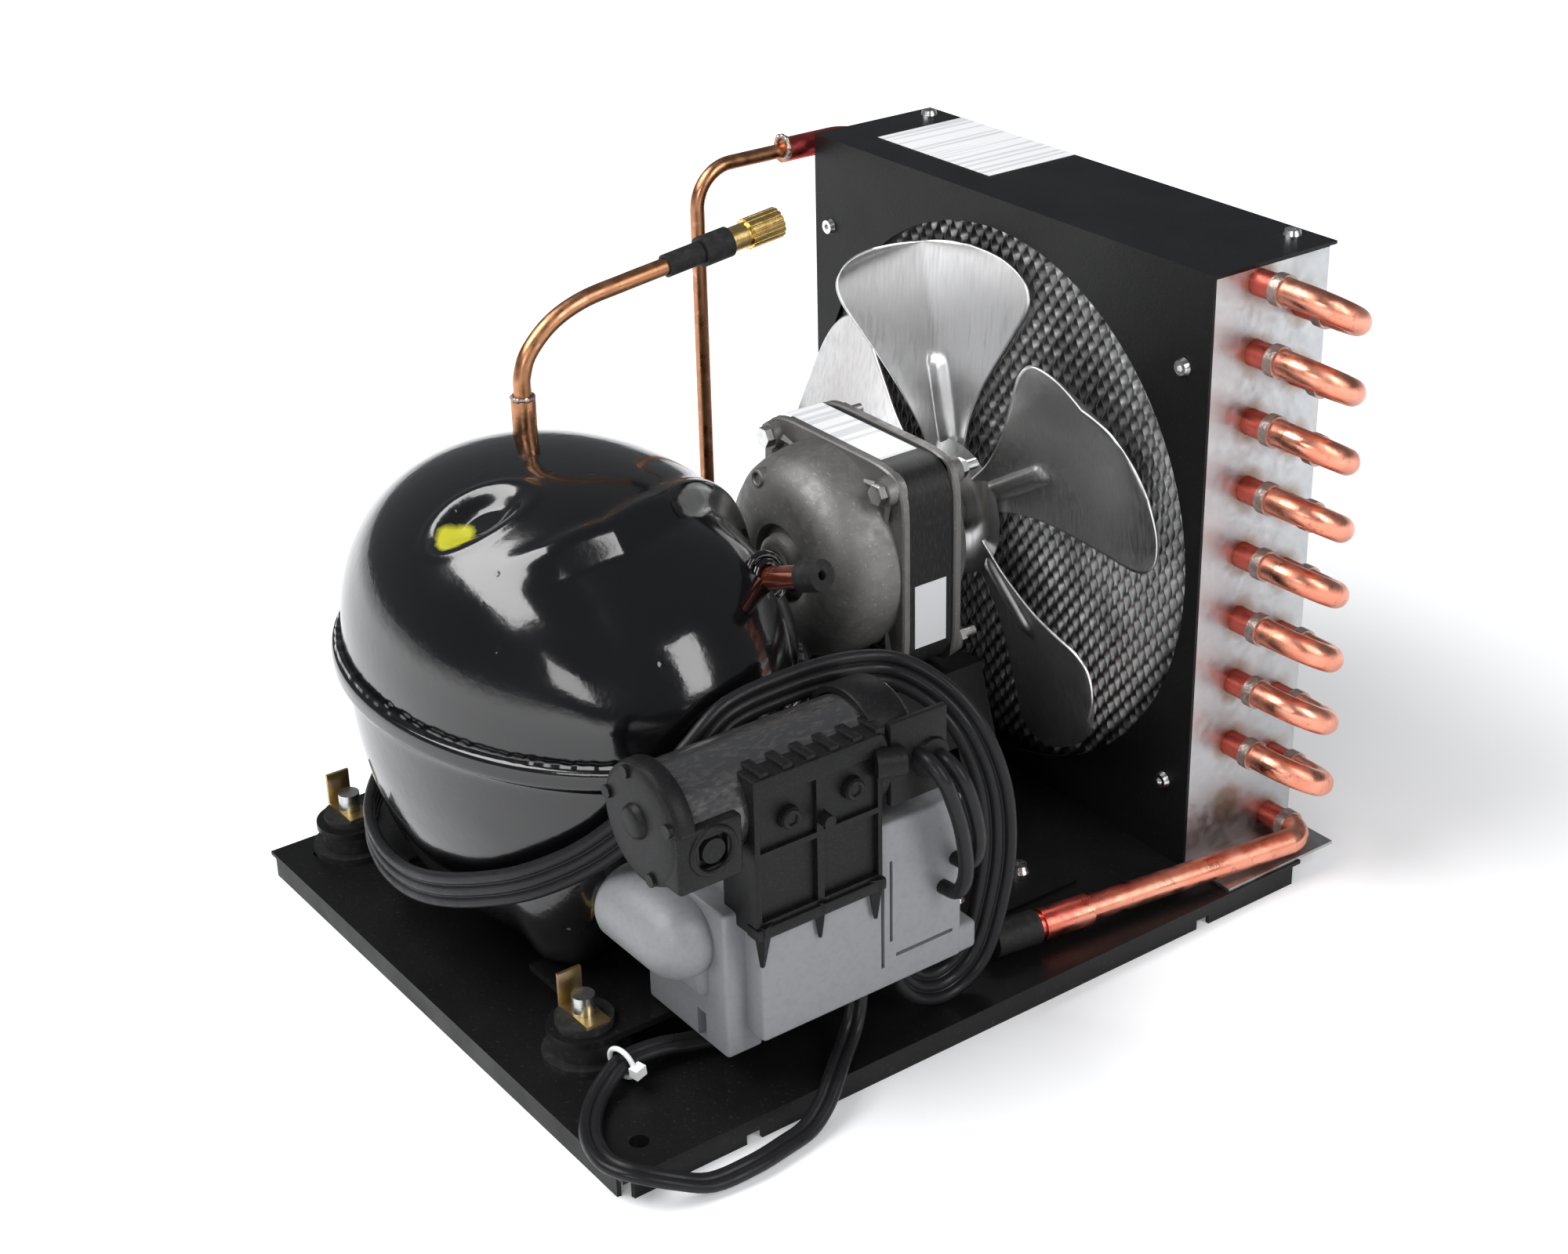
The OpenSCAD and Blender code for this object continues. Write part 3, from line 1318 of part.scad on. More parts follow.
module fan_hub() {
    color([0.7, 0.7, 0.72]) at_axis(fan_y - fan_hub_l / 2) difference() {
        rod_y(fan_hub_r, fan_hub_l);
        translate([0, -cut, 0]) rod_y(shaft_r + fit_gap, fan_hub_l + 2 * cut);
    }
}

// The terminal cover's outside, wall in from the outer face and lengthened at the open back
module cover_form(wall, back) {
    x = cover_face - cover_d - back;
    side_x = cover_face - cover_d - side_back - back;
    bulge_x = cover_face - cover_d - bulge_back - back;
    box([x, cover_y + wall, cover_z + wall],
        [cover_face - wall, cover_y + cover_l - wall, cover_z + cover_h - wall]);
    box([side_x, cover_y - side_out + wall, cover_z - side_drop + wall],
        [side_x + back + side_l - wall, cover_y + side_in, cover_z - side_drop + side_h - wall]);
    translate([bulge_x, cover_y - bulge_out, cover_z + bulge_z]) rod_x(bulge_r - wall, bulge_l + back - wall);
}

module terminal_cover() {
    color([0.5, 0.51, 0.53]) difference() {
        union() {
            cover_form(0, 0);
            translate([cover_face - cover_d - bulge_back + bulge_l, cover_y - bulge_out, cover_z + bulge_z])
                sphere(r = bulge_r - nose_in);
            box([cover_face - cover_d / 2, cover_y + cover_l - cut, cover_z],
                [cover_face, cover_y + cover_l + ledge_out, cover_z + ledge_l]);
        }
        cover_form(cover_t, cut);
        translate([cover_face - groove_deep, cover_y + groove_y, cover_z + ledge_z])
            cube([groove_deep + cut, groove_w, cover_h]);
        translate([cover_face - groove_deep, cover_y + cover_l - ledge_l, cover_z + ledge_l])
            cube([groove_deep + cut, ledge_l + cut, groove_w]);
        translate([cover_face - cover_d - side_back + side_slot, cover_y - side_out - cut, cover_z - side_drop - cut])
            cube([side_slot_w, side_out, side_slot_h]);
        band(-part_gap, cover_z - side_drop - cut, cover_z + cover_h + cut);
    }
}

module start_relay() {
    x = terminal_face + terminal_t / 2 + terminal_pin_l + part_gap;
    color([0.15, 0.15, 0.16]) box([x, cover_y + relay_y, cover_z + relay_z],
        [x + relay_d, cover_y + relay_y + relay_l, cover_z + relay_z + relay_h]);
}

module overload_protector() {
    color([0.12, 0.12, 0.12])
        translate([cover_face - cover_t - overload_l - fit_gap, cover_y + overload_y, cover_z + overload_z])
        rod_x(overload_r, overload_l);
}

module start_capacitor() {
    color([0.1, 0.1, 0.11]) translate([cap_x, cap_y, cap_z]) {
        rod_y(cap_r - cap_rim / 2, cap_l);
        rod_y(cap_r, cap_rim_l);
        translate([0, cap_l - cap_rim_l, 0]) rod_y(cap_r, cap_rim_l);
    }
}

module capacitor_carrier() {
    r = cap_r + fit_gap;
    face = cap_x + r;
    end = cap_y + cap_l;
    low = cap_z - frame_low;
    color([0.13, 0.13, 0.135]) difference() {
        union() {
            translate([cap_x, cap_y - cup_end, cap_z]) rod_y(r + carrier_t, cup_l + cup_end);
            translate([cap_x, end - strap_from - strap_l, cap_z]) rod_y(r + carrier_t, strap_l);
            difference() {
                translate([cap_x, cap_y, cap_z]) rod_y(r + carrier_t, cradle_l);
                box([cap_x - 2 * r, cap_y - cut, cap_z - cap_r / 3], [cap_x + 2 * r, end + cut, cap_z + 2 * r]);
            }
            box([cap_x, cap_y - cup_end, cap_z - arm_h / 2], [face + carrier_t, cap_y + arm_l, cap_z + arm_h / 4]);
            box([cap_x, cap_y + frame_y, low], [face + carrier_t, cap_y + frame_y + frame_l, cap_z]);
            translate([face, cap_y + frame_y, low]) frame_ribs();
            box([face, cap_y + ear_y - cut, cap_z - ear_low],
                [face + carrier_t, cap_y + ear_y + ear_l, cap_z - ear_low + ear_h]);
            translate([face + cut, cap_y + arm_y + cut, cap_z - cut]) rod_x(window_ring_r, carrier_t);
        }
        translate([cap_x, cap_y - cut / 2, cap_z]) rod_y(r, cap_l + cut);
        translate([cap_x, end - cut, cap_z]) rod_y(r, ear_l);
        translate([face - r, cap_y + arm_y + cut, cap_z - cut]) rod_x(window_r, 2 * r);
        box([cap_x - cap_r, cap_y + frame_y - cut, low - cut],
            [face, cap_y + frame_y + frame_l + cut, cover_z + cover_h]);
        box([cap_x - cut, cap_y + frame_y - cut, low - cut],
            [cover_face + part_gap / 2, cap_y + frame_y + frame_l + cut, cover_z + cover_h + part_gap / 2]);
        for (s = post_y_shares) translate([face, cap_y + frame_y + s * frame_l, cap_z - post_drop])
            rod_x(post_hole_r, 3 * carrier_t);
    }
}

// Raised ribs, posts and boss of the carrier's front frame, from its lower corner
module frame_ribs() {
    deep = carrier_t + frame_rim;
    box([0, 0, 0], [deep, frame_l, frame_t]);
    for (y = [0, (frame_l - frame_t) / 2, frame_l - frame_t]) box([0, y, 0], [deep, y + frame_t, frame_low]);
    for (s = post_y_shares) translate([0, s * frame_l, frame_low - post_drop]) rod_x(post_r, deep);
    translate([0, frame_l / 2, frame_low - boss_drop]) rod_x(post_r, deep + frame_t);
}

module fan_lead() {
    color([0.1, 0.1, 0.1]) lead(fan_lead_route, lead_flat, fan_lead_normals(fan_lead_route),
        [fan_lead_start, [0, 0, 1]]);
}

module jumper_lead() {
    color([0.1, 0.1, 0.1]) lead(jumper_route, jumper_flat, carried(jumper_route, jumper_side), [[0, 0, -1], [0, 0, 1]]);
}

module capacitor_leads() {
    color([0.12, 0.12, 0.12]) {
        for (p = [cap_lead_a, cap_lead_b])
            lead(p, [2, 2] * cap_lead_r, carried(p, [0, 1, 0]), [[1, 0, 0], [-1, 0, 0]]);
    }
}

// A tie round the jumper lead, with its buckle
module cable_tie() {
    p = jumper_route[tie_point];
    color([0.92, 0.92, 0.92]) facing(p, heading(jumper_route, tie_point)) {
        rotate_extrude() translate([tie_r, 0]) circle(r = tie_wire);
        translate([-tie_r - 2 * tie_wire, 0, 0]) cube([4, 4, 5] * tie_wire, center = true);
    }
}

echo(fan_lead_gap = self_gap(fan_lead_route, lead_flat.x), jumper_gap = self_gap(jumper_route, jumper_flat.x));
echo(cap_lead_a_gap = self_gap(cap_lead_a, 2 * cap_lead_r), cap_lead_b_gap = self_gap(cap_lead_b, 2 * cap_lead_r));

base_plate();
compressor_lower_shell();
compressor_upper_shell();
foot_plates();
foot_grommets();
foot_studs();
foot_clips();
stator_core();
stator_windings();
compressor_rotor();
crankshaft();
cylinder_block();
valve_plate();
cylinder_head();
connecting_rod();
piston();
wrist_pin();
suction_muffler();
suspension_springs();
hermetic_terminal();
suction_stub();
suction_cap();
service_line();
service_sleeves();
access_valve_body();
access_valve_core();
access_valve_cap();
discharge_line();
condenser_outlet_line();
outlet_cap();
condenser_tubes();
condenser_fins();
left_end_plate();
right_end_plate();
return_bends();
braze_rings();
shroud();
shroud_screws();
motor_rear_bell();
motor_front_bell();
motor_core();
motor_coil();
motor_rotor();
motor_shaft();
motor_bushes();
motor_through_bolts();
motor_nuts();
motor_bracket();
bracket_screws();
fan_blades();
fan_hub();
terminal_cover();
start_relay();
overload_protector();
start_capacitor();
capacitor_carrier();
fan_lead();
jumper_lead();
capacitor_leads();
cable_tie();
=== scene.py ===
# %% [markdown]
# A small condensing unit, dressed for its portrait.
#
# The unit's solids come in as a fixed frame in metres: Z is up, Y runs from the compressor to the coil
# and X points to the outlet line. Solids whose form is already right keep their place and only get a
# finish. Forms that the solids show plainly, such as the pressed dome, the fins, the fan and the leads,
# are made again here in more detail.

# %% Load the frame
import math
import random

import bmesh
import bpy
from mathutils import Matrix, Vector, noise


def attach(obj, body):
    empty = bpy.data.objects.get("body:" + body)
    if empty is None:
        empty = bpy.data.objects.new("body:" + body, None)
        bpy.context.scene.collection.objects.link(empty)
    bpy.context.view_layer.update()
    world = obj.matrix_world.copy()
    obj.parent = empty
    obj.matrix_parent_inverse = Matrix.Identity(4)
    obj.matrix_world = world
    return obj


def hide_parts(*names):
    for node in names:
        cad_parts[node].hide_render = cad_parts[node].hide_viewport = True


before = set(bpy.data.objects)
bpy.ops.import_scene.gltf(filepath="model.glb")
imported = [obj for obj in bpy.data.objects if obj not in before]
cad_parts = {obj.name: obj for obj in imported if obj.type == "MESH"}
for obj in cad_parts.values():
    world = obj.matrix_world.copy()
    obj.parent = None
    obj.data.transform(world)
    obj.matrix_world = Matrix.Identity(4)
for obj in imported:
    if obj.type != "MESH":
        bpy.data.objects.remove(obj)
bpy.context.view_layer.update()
MM = 0.001
random.seed(7)

# %% [markdown]
# Finishes are built from a few node helpers. Each one adds one step to a material, so that a finish reads
# as a short recipe: a base colour, a little colour drift, a change of gloss and a fine relief. All
# patterns read Object coordinates, which are metres here, so a noise scale of 1000 gives grains of about
# a millimetre.

# %% A new finish
CLEAR_COAT_GLOSS = 0.03


def new_finish(name, colour, gloss, metal=0.0, coat=0.0):
    """A material with a Principled shader; gloss is its roughness."""
    material = bpy.data.materials.new(name)
    material.use_nodes = True
    shader = material.node_tree.nodes["Principled BSDF"]
    shader.inputs["Base Color"].default_value = (*colour, 1.0)
    shader.inputs["Roughness"].default_value = gloss
    shader.inputs["Metallic"].default_value = metal
    shader.inputs["Coat Weight"].default_value = coat
    shader.inputs["Coat Roughness"].default_value = CLEAR_COAT_GLOSS
    return material


def add_node(material, kind, **settings):
    node = material.node_tree.nodes.new("ShaderNode" + kind)
    for key, value in settings.items():
        setattr(node, key, value)
    return node


def wire(material, source, target):
    material.node_tree.links.new(source, target)


def shader_of(material):
    return material.node_tree.nodes["Principled BSDF"]


print("a finish starts as one shader with a clear coat of roughness", CLEAR_COAT_GLOSS)

# %% [markdown]
# A pattern starts from a place on the object. Stretching that place draws the pattern out one way, which
# is how rolled and brushed metal gets its streaks; turning it lays the streaks along the part.

# %% Patterns
def where(material, stretch=(1, 1, 1), turn=(0, 0, 0)):
    """Object coordinates, stretched and turned."""
    coordinate = add_node(material, "TexCoord")
    mapping = add_node(material, "Mapping")
    mapping.inputs["Scale"].default_value = stretch
    mapping.inputs["Rotation"].default_value = turn
    wire(material, coordinate.outputs["Object"], mapping.inputs["Vector"])
    return mapping.outputs["Vector"]


def grain(material, scale, detail=3.0, stretch=(1, 1, 1), turn=(0, 0, 0)):
    """Cloudy noise from 0 to 1."""
    texture = add_node(material, "TexNoise")
    texture.inputs["Scale"].default_value = scale
    texture.inputs["Detail"].default_value = detail
    wire(material, where(material, stretch, turn), texture.inputs["Vector"])
    return texture.outputs["Fac"]


def cells(material, scale, output="Distance"):
    """Crystal cells: the distance to a cell's middle, or a colour for each cell."""
    texture = add_node(material, "TexVoronoi")
    texture.inputs["Scale"].default_value = scale
    wire(material, where(material), texture.inputs["Vector"])
    return texture.outputs[output]


print("patterns ready: grain and cells")

# %% [markdown]
# Patterns are turned into amounts with a little arithmetic on sockets. The most useful step is the remap:
# it takes a band of the pattern, spreads it from 0 to 1 and cuts the rest off, so that soft clouds become
# spots.

# %% Sums on sockets
def remap(material, value, low, high, new_low, new_high):
    """A value from low to high becomes one from new_low to new_high, and stays within them."""
    node = add_node(material, "MapRange")
    node.inputs["From Min"].default_value = low
    node.inputs["From Max"].default_value = high
    node.inputs["To Min"].default_value = new_low
    node.inputs["To Max"].default_value = new_high
    wire(material, value, node.inputs["Value"])
    return node.outputs["Result"]


def sums(material, operation, first, second=None):
    """Math on sockets or plain numbers."""
    node = add_node(material, "Math", operation=operation)
    for socket, value in zip(node.inputs, (first, second)):
        if value is None:
            continue
        if isinstance(value, (int, float)):
            socket.default_value = value
        else:
            wire(material, value, socket)
    return node.outputs["Value"]


def axis_value(material, axis):
    """One of the Object coordinates, in metres."""
    split = add_node(material, "SeparateXYZ")
    wire(material, where(material), split.inputs["Vector"])
    return split.outputs[axis]


print("sums ready: remap, sums and axis_value")

# %% [markdown]
# A finish is built up in layers, as a real one is. Drift lays one more colour over those before it,
# relief adds a bump over earlier bumps, and vary lets a pattern drive a number of the shader, such as its
# roughness.

# %% Layers of a finish
def drift(material, factor, colour):
    """Mixes colour into the base colour by factor."""
    shader = shader_of(material)
    layer = add_node(material, "Mix", data_type="RGBA")
    socket = shader.inputs["Base Color"]
    if socket.is_linked:
        wire(material, socket.links[0].from_socket, layer.inputs["A"])
    else:
        layer.inputs["A"].default_value = socket.default_value
    layer.inputs["B"].default_value = (*colour, 1.0)
    wire(material, factor, layer.inputs["Factor"])
    wire(material, layer.outputs["Result"], socket)


def relief(material, height, depth, strength=1.0):
    """Adds a bump of the given depth in metres over any earlier one."""
    bump = add_node(material, "Bump")
    bump.inputs["Distance"].default_value = depth
    bump.inputs["Strength"].default_value = strength
    wire(material, height, bump.inputs["Height"])
    socket = shader_of(material).inputs["Normal"]
    if socket.is_linked:
        wire(material, socket.links[0].from_socket, bump.inputs["Normal"])
    wire(material, bump.outputs["Normal"], socket)


def vary(material, name, value):
    """Drives one of the shader's inputs."""
    wire(material, value, shader_of(material).inputs[name])


print("layers ready: drift, relief and vary")

# %% [markdown]
# Black paints come first. The compressor has a thick dipped gloss coat: its relief is a soft orange peel
# with a few sunken pits, under a clear coat. The gloss is a shade uneven, so that reflections have soft
# edges.

# %% Dipped gloss paint
shell_gloss = new_finish("shell_gloss", (0.003, 0.003, 0.0035), 0.08, coat=0.35)
relief(shell_gloss, grain(shell_gloss, 45, 2), 0.001, 0.2)
relief(shell_gloss, grain(shell_gloss, 300, 2), 0.0002, 0.35)
relief(shell_gloss, remap(shell_gloss, cells(shell_gloss, 55), 0.0, 0.07, 0.0, 1.0), 0.0005, 0.6)
vary(shell_gloss, "Roughness", remap(shell_gloss, grain(shell_gloss, 25, 4), 0.35, 0.7, 0.11, 0.2))
print("shell paint:", len(shell_gloss.node_tree.nodes), "nodes")

# %% [markdown]
# An inspector's dab of yellow paint sits in the dome's dimple. It is the part of the gloss paint that
# lies within a ball round the dab's middle, and a little noise on the distance makes its edge ragged.

# %% Yellow paint dab
DAB = {"X": -17, "Y": -116, "Z": 169.5}
DAB_RADIUS, DAB_FADE, DAB_RAGGED = 8.5 * MM, 2 * MM, 5 * MM
squares = []
for axis, place in DAB.items():
    offset = sums(shell_gloss, "SUBTRACT", axis_value(shell_gloss, axis), place * MM)
    squares.append(sums(shell_gloss, "MULTIPLY", offset, offset))
in_plan = sums(shell_gloss, "ADD", squares[0], squares[1])
distance = sums(shell_gloss, "SQRT", sums(shell_gloss, "ADD", in_plan, squares[2]))
wobble = sums(shell_gloss, "MULTIPLY", grain(shell_gloss, 130, 4), DAB_RAGGED)
distance = sums(shell_gloss, "ADD", distance, wobble)
covered = remap(shell_gloss, distance, DAB_RADIUS, DAB_RADIUS + DAB_FADE, 0.9, 0.0)
drift(shell_gloss, covered, (0.5, 0.48, 0.03))
print("yellow dab at", DAB)

# %% [markdown]
# Sheet parts are powder coated: satin black, with a fine grain and some dust in it. Two coats of slightly
# different black keep the pan and the shroud from looking like one piece.

# %% Powder coats
pan_satin = new_finish("pan_satin", (0.006, 0.006, 0.006), 0.42)
drift(pan_satin, remap(pan_satin, grain(pan_satin, 700, 6), 0.62, 0.8, 0.0, 0.5), (0.06, 0.055, 0.05))
vary(pan_satin, "Roughness", remap(pan_satin, grain(pan_satin, 40, 6), 0.3, 0.7, 0.3, 0.48))
relief(pan_satin, grain(pan_satin, 1500, 3), 0.00008, 0.4)

shroud_satin = new_finish("shroud_satin", (0.006, 0.006, 0.0065), 0.4)
dust = remap(shroud_satin, grain(shroud_satin, 1200, 6), 0.64, 0.8, 0.0, 0.4)
drift(shroud_satin, dust, (0.07, 0.07, 0.07))
vary(shroud_satin, "Roughness", remap(shroud_satin, grain(shroud_satin, 30, 5), 0.3, 0.7, 0.34, 0.46))
relief(shroud_satin, grain(shroud_satin, 1100, 3), 0.0001, 0.5)
print("powder coats:", pan_satin.name, "and", shroud_satin.name)

# %% [markdown]
# Bare metals next. Galvanised sheet shows crystal flakes, and on the coil's end plates the torch has left
# dark and straw rings round each tube. The rings repeat with the tubes, so their distance is worked out
# from the height, wrapped to the tube pitch.

# %% Galvanised sheet
TUBE_PITCH = 25.4 * MM
FRONT_ROW = (133.4 * MM, 232.1 * MM)


def tube_distance(material, row):
    """Distance in metres to the nearest tube of a row of the coil."""
    y = sums(material, "SUBTRACT", axis_value(material, "Y"), row[0])
    above = sums(material, "SUBTRACT", axis_value(material, "Z"), row[1])
    turns = sums(material, "DIVIDE", above, TUBE_PITCH)
    wrapped = sums(material, "SUBTRACT", sums(material, "FRACT", sums(material, "ADD", turns, 20.5)), 0.5)
    z = sums(material, "MULTIPLY", wrapped, TUBE_PITCH)
    squares = sums(material, "ADD", sums(material, "MULTIPLY", y, y), sums(material, "MULTIPLY", z, z))
    return sums(material, "SQRT", squares)


BACK_ROW = (FRONT_ROW[0] + TUBE_PITCH * math.sqrt(3) / 2, FRONT_ROW[1] - TUBE_PITCH / 2)
galvanised = new_finish("galvanised", (0.5, 0.51, 0.52), 0.42, metal=1.0)
flakes = remap(galvanised, cells(galvanised, 170, output="Color"), 0.0, 1.0, 0.0, 0.35)
drift(galvanised, flakes, (0.42, 0.44, 0.47))
runs = remap(galvanised, grain(galvanised, 18, 6, (1, 1, 0.3)), 0.5, 0.75, 0.0, 0.5)
drift(galvanised, runs, (0.4, 0.4, 0.38))
for coil_row in (FRONT_ROW, BACK_ROW):
    ring = tube_distance(galvanised, coil_row)
    ragged = sums(galvanised, "ADD", ring, sums(galvanised, "MULTIPLY", grain(galvanised, 120, 4), 0.006))
    drift(galvanised, remap(galvanised, ragged, 0.008, 0.0125, 0.75, 0.0), (0.28, 0.2, 0.13))
vary(galvanised, "Roughness", remap(galvanised, grain(galvanised, 300, 4), 0.3, 0.7, 0.34, 0.52))
relief(galvanised, grain(galvanised, 500, 2), 0.0001, 0.3)
print("torch rings round tube rows at y =", [round(row[0] / MM, 1) for row in (FRONT_ROW, BACK_ROW)], "mm")

# %% [markdown]
# Copper changes colour where it was brazed. Close to the end plates the heat left a dull pink-red skin,
# further out the bends stay orange and shiny. The finish finds its zone from the distance to the unit's
# middle plane.

# %% Copper of the bends
HEATED_TO, CLEAN_FROM = 111 * MM, 116.5 * MM
bend_copper = new_finish("bend_copper", (0.82, 0.36, 0.25), 0.36, metal=1.0)
drift(bend_copper, remap(bend_copper, grain(bend_copper, 90, 5), 0.35, 0.7, 0.0, 0.7), (0.72, 0.24, 0.15))
out = sums(bend_copper, "ABSOLUTE", axis_value(bend_copper, "X"))
ragged = sums(bend_copper, "ADD", out, sums(bend_copper, "MULTIPLY", grain(bend_copper, 200, 4), 0.008))
drift(bend_copper, remap(bend_copper, ragged, HEATED_TO, CLEAN_FROM, 0.85, 0.0), (0.6, 0.09, 0.07))
drift(bend_copper, remap(bend_copper, grain(bend_copper, 400, 5), 0.6, 0.75, 0.0, 0.6), (0.3, 0.1, 0.07))
vary(bend_copper, "Roughness", remap(bend_copper, grain(bend_copper, 150, 5), 0.3, 0.7, 0.22, 0.5))
relief(bend_copper, grain(bend_copper, 500, 4), 0.0002, 0.4)

print("copper is heat stained up to", round(HEATED_TO / MM), "mm from the middle")

# %% [markdown]
# The lines are older, browner copper with bright handling marks. The discharge line's end was dipped in
# red paint, so its colour changes at a ragged line along Y. The filler of a brazed joint is duller and
# greyer than the tube, and the suction stub keeps a dark clear lacquer.

# %% Copper of the lines
braze_metal = new_finish("braze_metal", (0.5, 0.36, 0.3), 0.42, metal=1.0)
drift(braze_metal, remap(braze_metal, grain(braze_metal, 300, 5), 0.35, 0.65, 0.0, 0.9), (0.34, 0.3, 0.28))
relief(braze_metal, grain(braze_metal, 500, 4), 0.0006, 0.7)

RED_FROM, RED_FULL, RED_RAGGED = 104 * MM, 108 * MM, 6 * MM
line_copper = new_finish("line_copper", (0.42, 0.2, 0.1), 0.3, metal=1.0)
tarnish = remap(line_copper, grain(line_copper, 60, 5, (1, 1, 0.4)), 0.35, 0.7, 0.0, 0.8)
drift(line_copper, tarnish, (0.36, 0.17, 0.1))
drift(line_copper, remap(line_copper, grain(line_copper, 220, 5), 0.58, 0.75, 0.0, 0.7), (0.75, 0.4, 0.26))
wobble = sums(line_copper, "MULTIPLY", grain(line_copper, 160, 4), RED_RAGGED)
painted = sums(line_copper, "ADD", axis_value(line_copper, "Y"), wobble)
drift(line_copper, remap(line_copper, painted, RED_FROM, RED_FULL, 0.0, 0.85), (0.5, 0.05, 0.06))
vary(line_copper, "Roughness", remap(line_copper, grain(line_copper, 200, 5), 0.3, 0.7, 0.22, 0.45))
relief(line_copper, grain(line_copper, 600, 3), 0.0001, 0.4)

stub_lacquer = new_finish("stub_lacquer", (0.16, 0.035, 0.02), 0.16, metal=0.7, coat=0.5)
drift(stub_lacquer, remap(stub_lacquer, grain(stub_lacquer, 120, 4), 0.4, 0.7, 0.0, 0.7), (0.3, 0.1, 0.05))
print("red paint from y =", round(RED_FROM / MM), "mm")

# %% [markdown]
# The fan and the motor show three kinds of aluminium: cast bells with a sandy skin, blades with rolled and
# brushed streaks, and the thin sheet of the fins. The fins' dark grey colour is painted shade for the deep
# gaps between them; it turns darker still in patches at random.

# %% Aluminium finishes
cast_bell = new_finish("cast_bell", (0.2, 0.196, 0.19), 0.6, metal=0.85)
drift(cast_bell, remap(cast_bell, grain(cast_bell, 40, 4), 0.35, 0.7, 0.0, 0.6), (0.15, 0.146, 0.142))
drift(cast_bell, remap(cast_bell, grain(cast_bell, 700, 4), 0.6, 0.75, 0.0, 0.5), (0.4, 0.39, 0.38))
vary(cast_bell, "Roughness", remap(cast_bell, grain(cast_bell, 260, 5), 0.3, 0.7, 0.48, 0.66))
relief(cast_bell, grain(cast_bell, 1400, 3), 0.00012, 0.5)

brushed_blade = new_finish("brushed_blade", (0.84, 0.84, 0.84), 0.38, metal=1.0)
drift(brushed_blade, remap(brushed_blade, grain(brushed_blade, 30, 4), 0.4, 0.7, 0.0, 0.3), (0.6, 0.6, 0.61))
streaks = grain(brushed_blade, 900, 3, (1, 1, 0.05), (0, 1.2, 0))
drift(brushed_blade, remap(brushed_blade, streaks, 0.4, 0.7, 0.0, 0.35), (0.5, 0.5, 0.51))
vary(brushed_blade, "Roughness", remap(brushed_blade, streaks, 0.3, 0.7, 0.3, 0.42))
relief(brushed_blade, streaks, 0.00003, 0.25)

# Painted shade: the fins' dark grey base colour stands in for the shade deep between the close fins, and the
# patches are darker at random.
fin_sheet = new_finish("fin_sheet", (0.3, 0.3, 0.3), 0.32, metal=1.0)
drift(fin_sheet, remap(fin_sheet, grain(fin_sheet, 50, 4), 0.4, 0.7, 0.0, 0.7), (0.08, 0.08, 0.08))
vary(fin_sheet, "Roughness", remap(fin_sheet, grain(fin_sheet, 500, 3), 0.3, 0.7, 0.28, 0.45))
print("aluminium:", cast_bell.name, brushed_blade.name, fin_sheet.name)

# %% [markdown]
# Small hardware comes in three colours: bright zinc on screws and nuts, yellow zinc on the spring clips,
# and brass on the access valve. Each has a second shade in patches, because plating is never even.

# %% Plated steel and brass
plated = new_finish("plated", (0.66, 0.66, 0.65), 0.24, metal=1.0)
drift(plated, remap(plated, grain(plated, 400, 4), 0.45, 0.7, 0.0, 0.6), (0.46, 0.46, 0.46))
relief(plated, grain(plated, 900, 3), 0.00008, 0.4)

yellow_zinc = new_finish("yellow_zinc", (0.55, 0.42, 0.16), 0.34, metal=1.0)
drift(yellow_zinc, remap(yellow_zinc, grain(yellow_zinc, 150, 4), 0.4, 0.65, 0.0, 0.8), (0.45, 0.3, 0.22))
relief(yellow_zinc, grain(yellow_zinc, 500, 3), 0.0001, 0.3)

brass = new_finish("brass", (0.76, 0.55, 0.22), 0.26, metal=1.0)
drift(brass, remap(brass, grain(brass, 300, 4), 0.4, 0.7, 0.0, 0.7), (0.5, 0.33, 0.1))
relief(brass, grain(brass, 800, 3), 0.00008, 0.4)
print("hardware:", plated.name, yellow_zinc.name, brass.name)

# %% [markdown]
# Plastics and rubbers. Moulded grey plastic has a spark-eroded grain, the capacitor's case is a glossy
# shell with a marbled sheen, its carrier is a dull glass-filled plastic, and the cable jackets are soft
# vinyl.

# %% Plastic and rubber finishes
cover_grey = new_finish("cover_grey", (0.2, 0.205, 0.215), 0.46)
drift(cover_grey, remap(cover_grey, grain(cover_grey, 500, 4), 0.45, 0.7, 0.0, 0.4), (0.15, 0.155, 0.165))
relief(cover_grey, grain(cover_grey, 1700, 2), 0.00012, 0.5)

case_marbled = new_finish("case_marbled", (0.03, 0.03, 0.031), 0.2, coat=0.5)
mottle = grain(case_marbled, 700, 5, (1, 0.4, 1))
drift(case_marbled, remap(case_marbled, mottle, 0.5, 0.66, 0.0, 0.6), (0.055, 0.053, 0.052))
vary(case_marbled, "Roughness", remap(case_marbled, mottle, 0.35, 0.65, 0.16, 0.34))
relief(case_marbled, mottle, 0.00004, 0.25)

carrier_dull = new_finish("carrier_dull", (0.006, 0.006, 0.0065), 0.46)
drift(carrier_dull, remap(carrier_dull, grain(carrier_dull, 900, 5), 0.5, 0.75, 0.0, 0.5), (0.02, 0.02, 0.02))
relief(carrier_dull, grain(carrier_dull, 1300, 3), 0.0001, 0.5)

jacket_vinyl = new_finish("jacket_vinyl", (0.012, 0.012, 0.013), 0.34)
vary(jacket_vinyl, "Roughness", remap(jacket_vinyl, grain(jacket_vinyl, 200, 4), 0.3, 0.7, 0.26, 0.44))
relief(jacket_vinyl, grain(jacket_vinyl, 700, 3), 0.0001, 0.4)

rubber_black = new_finish("rubber_black", (0.014, 0.014, 0.014), 0.55)
bloom = remap(rubber_black, grain(rubber_black, 350, 5), 0.5, 0.75, 0.0, 0.6)
drift(rubber_black, bloom, (0.04, 0.038, 0.036))
relief(rubber_black, grain(rubber_black, 800, 3), 0.0001, 0.4)

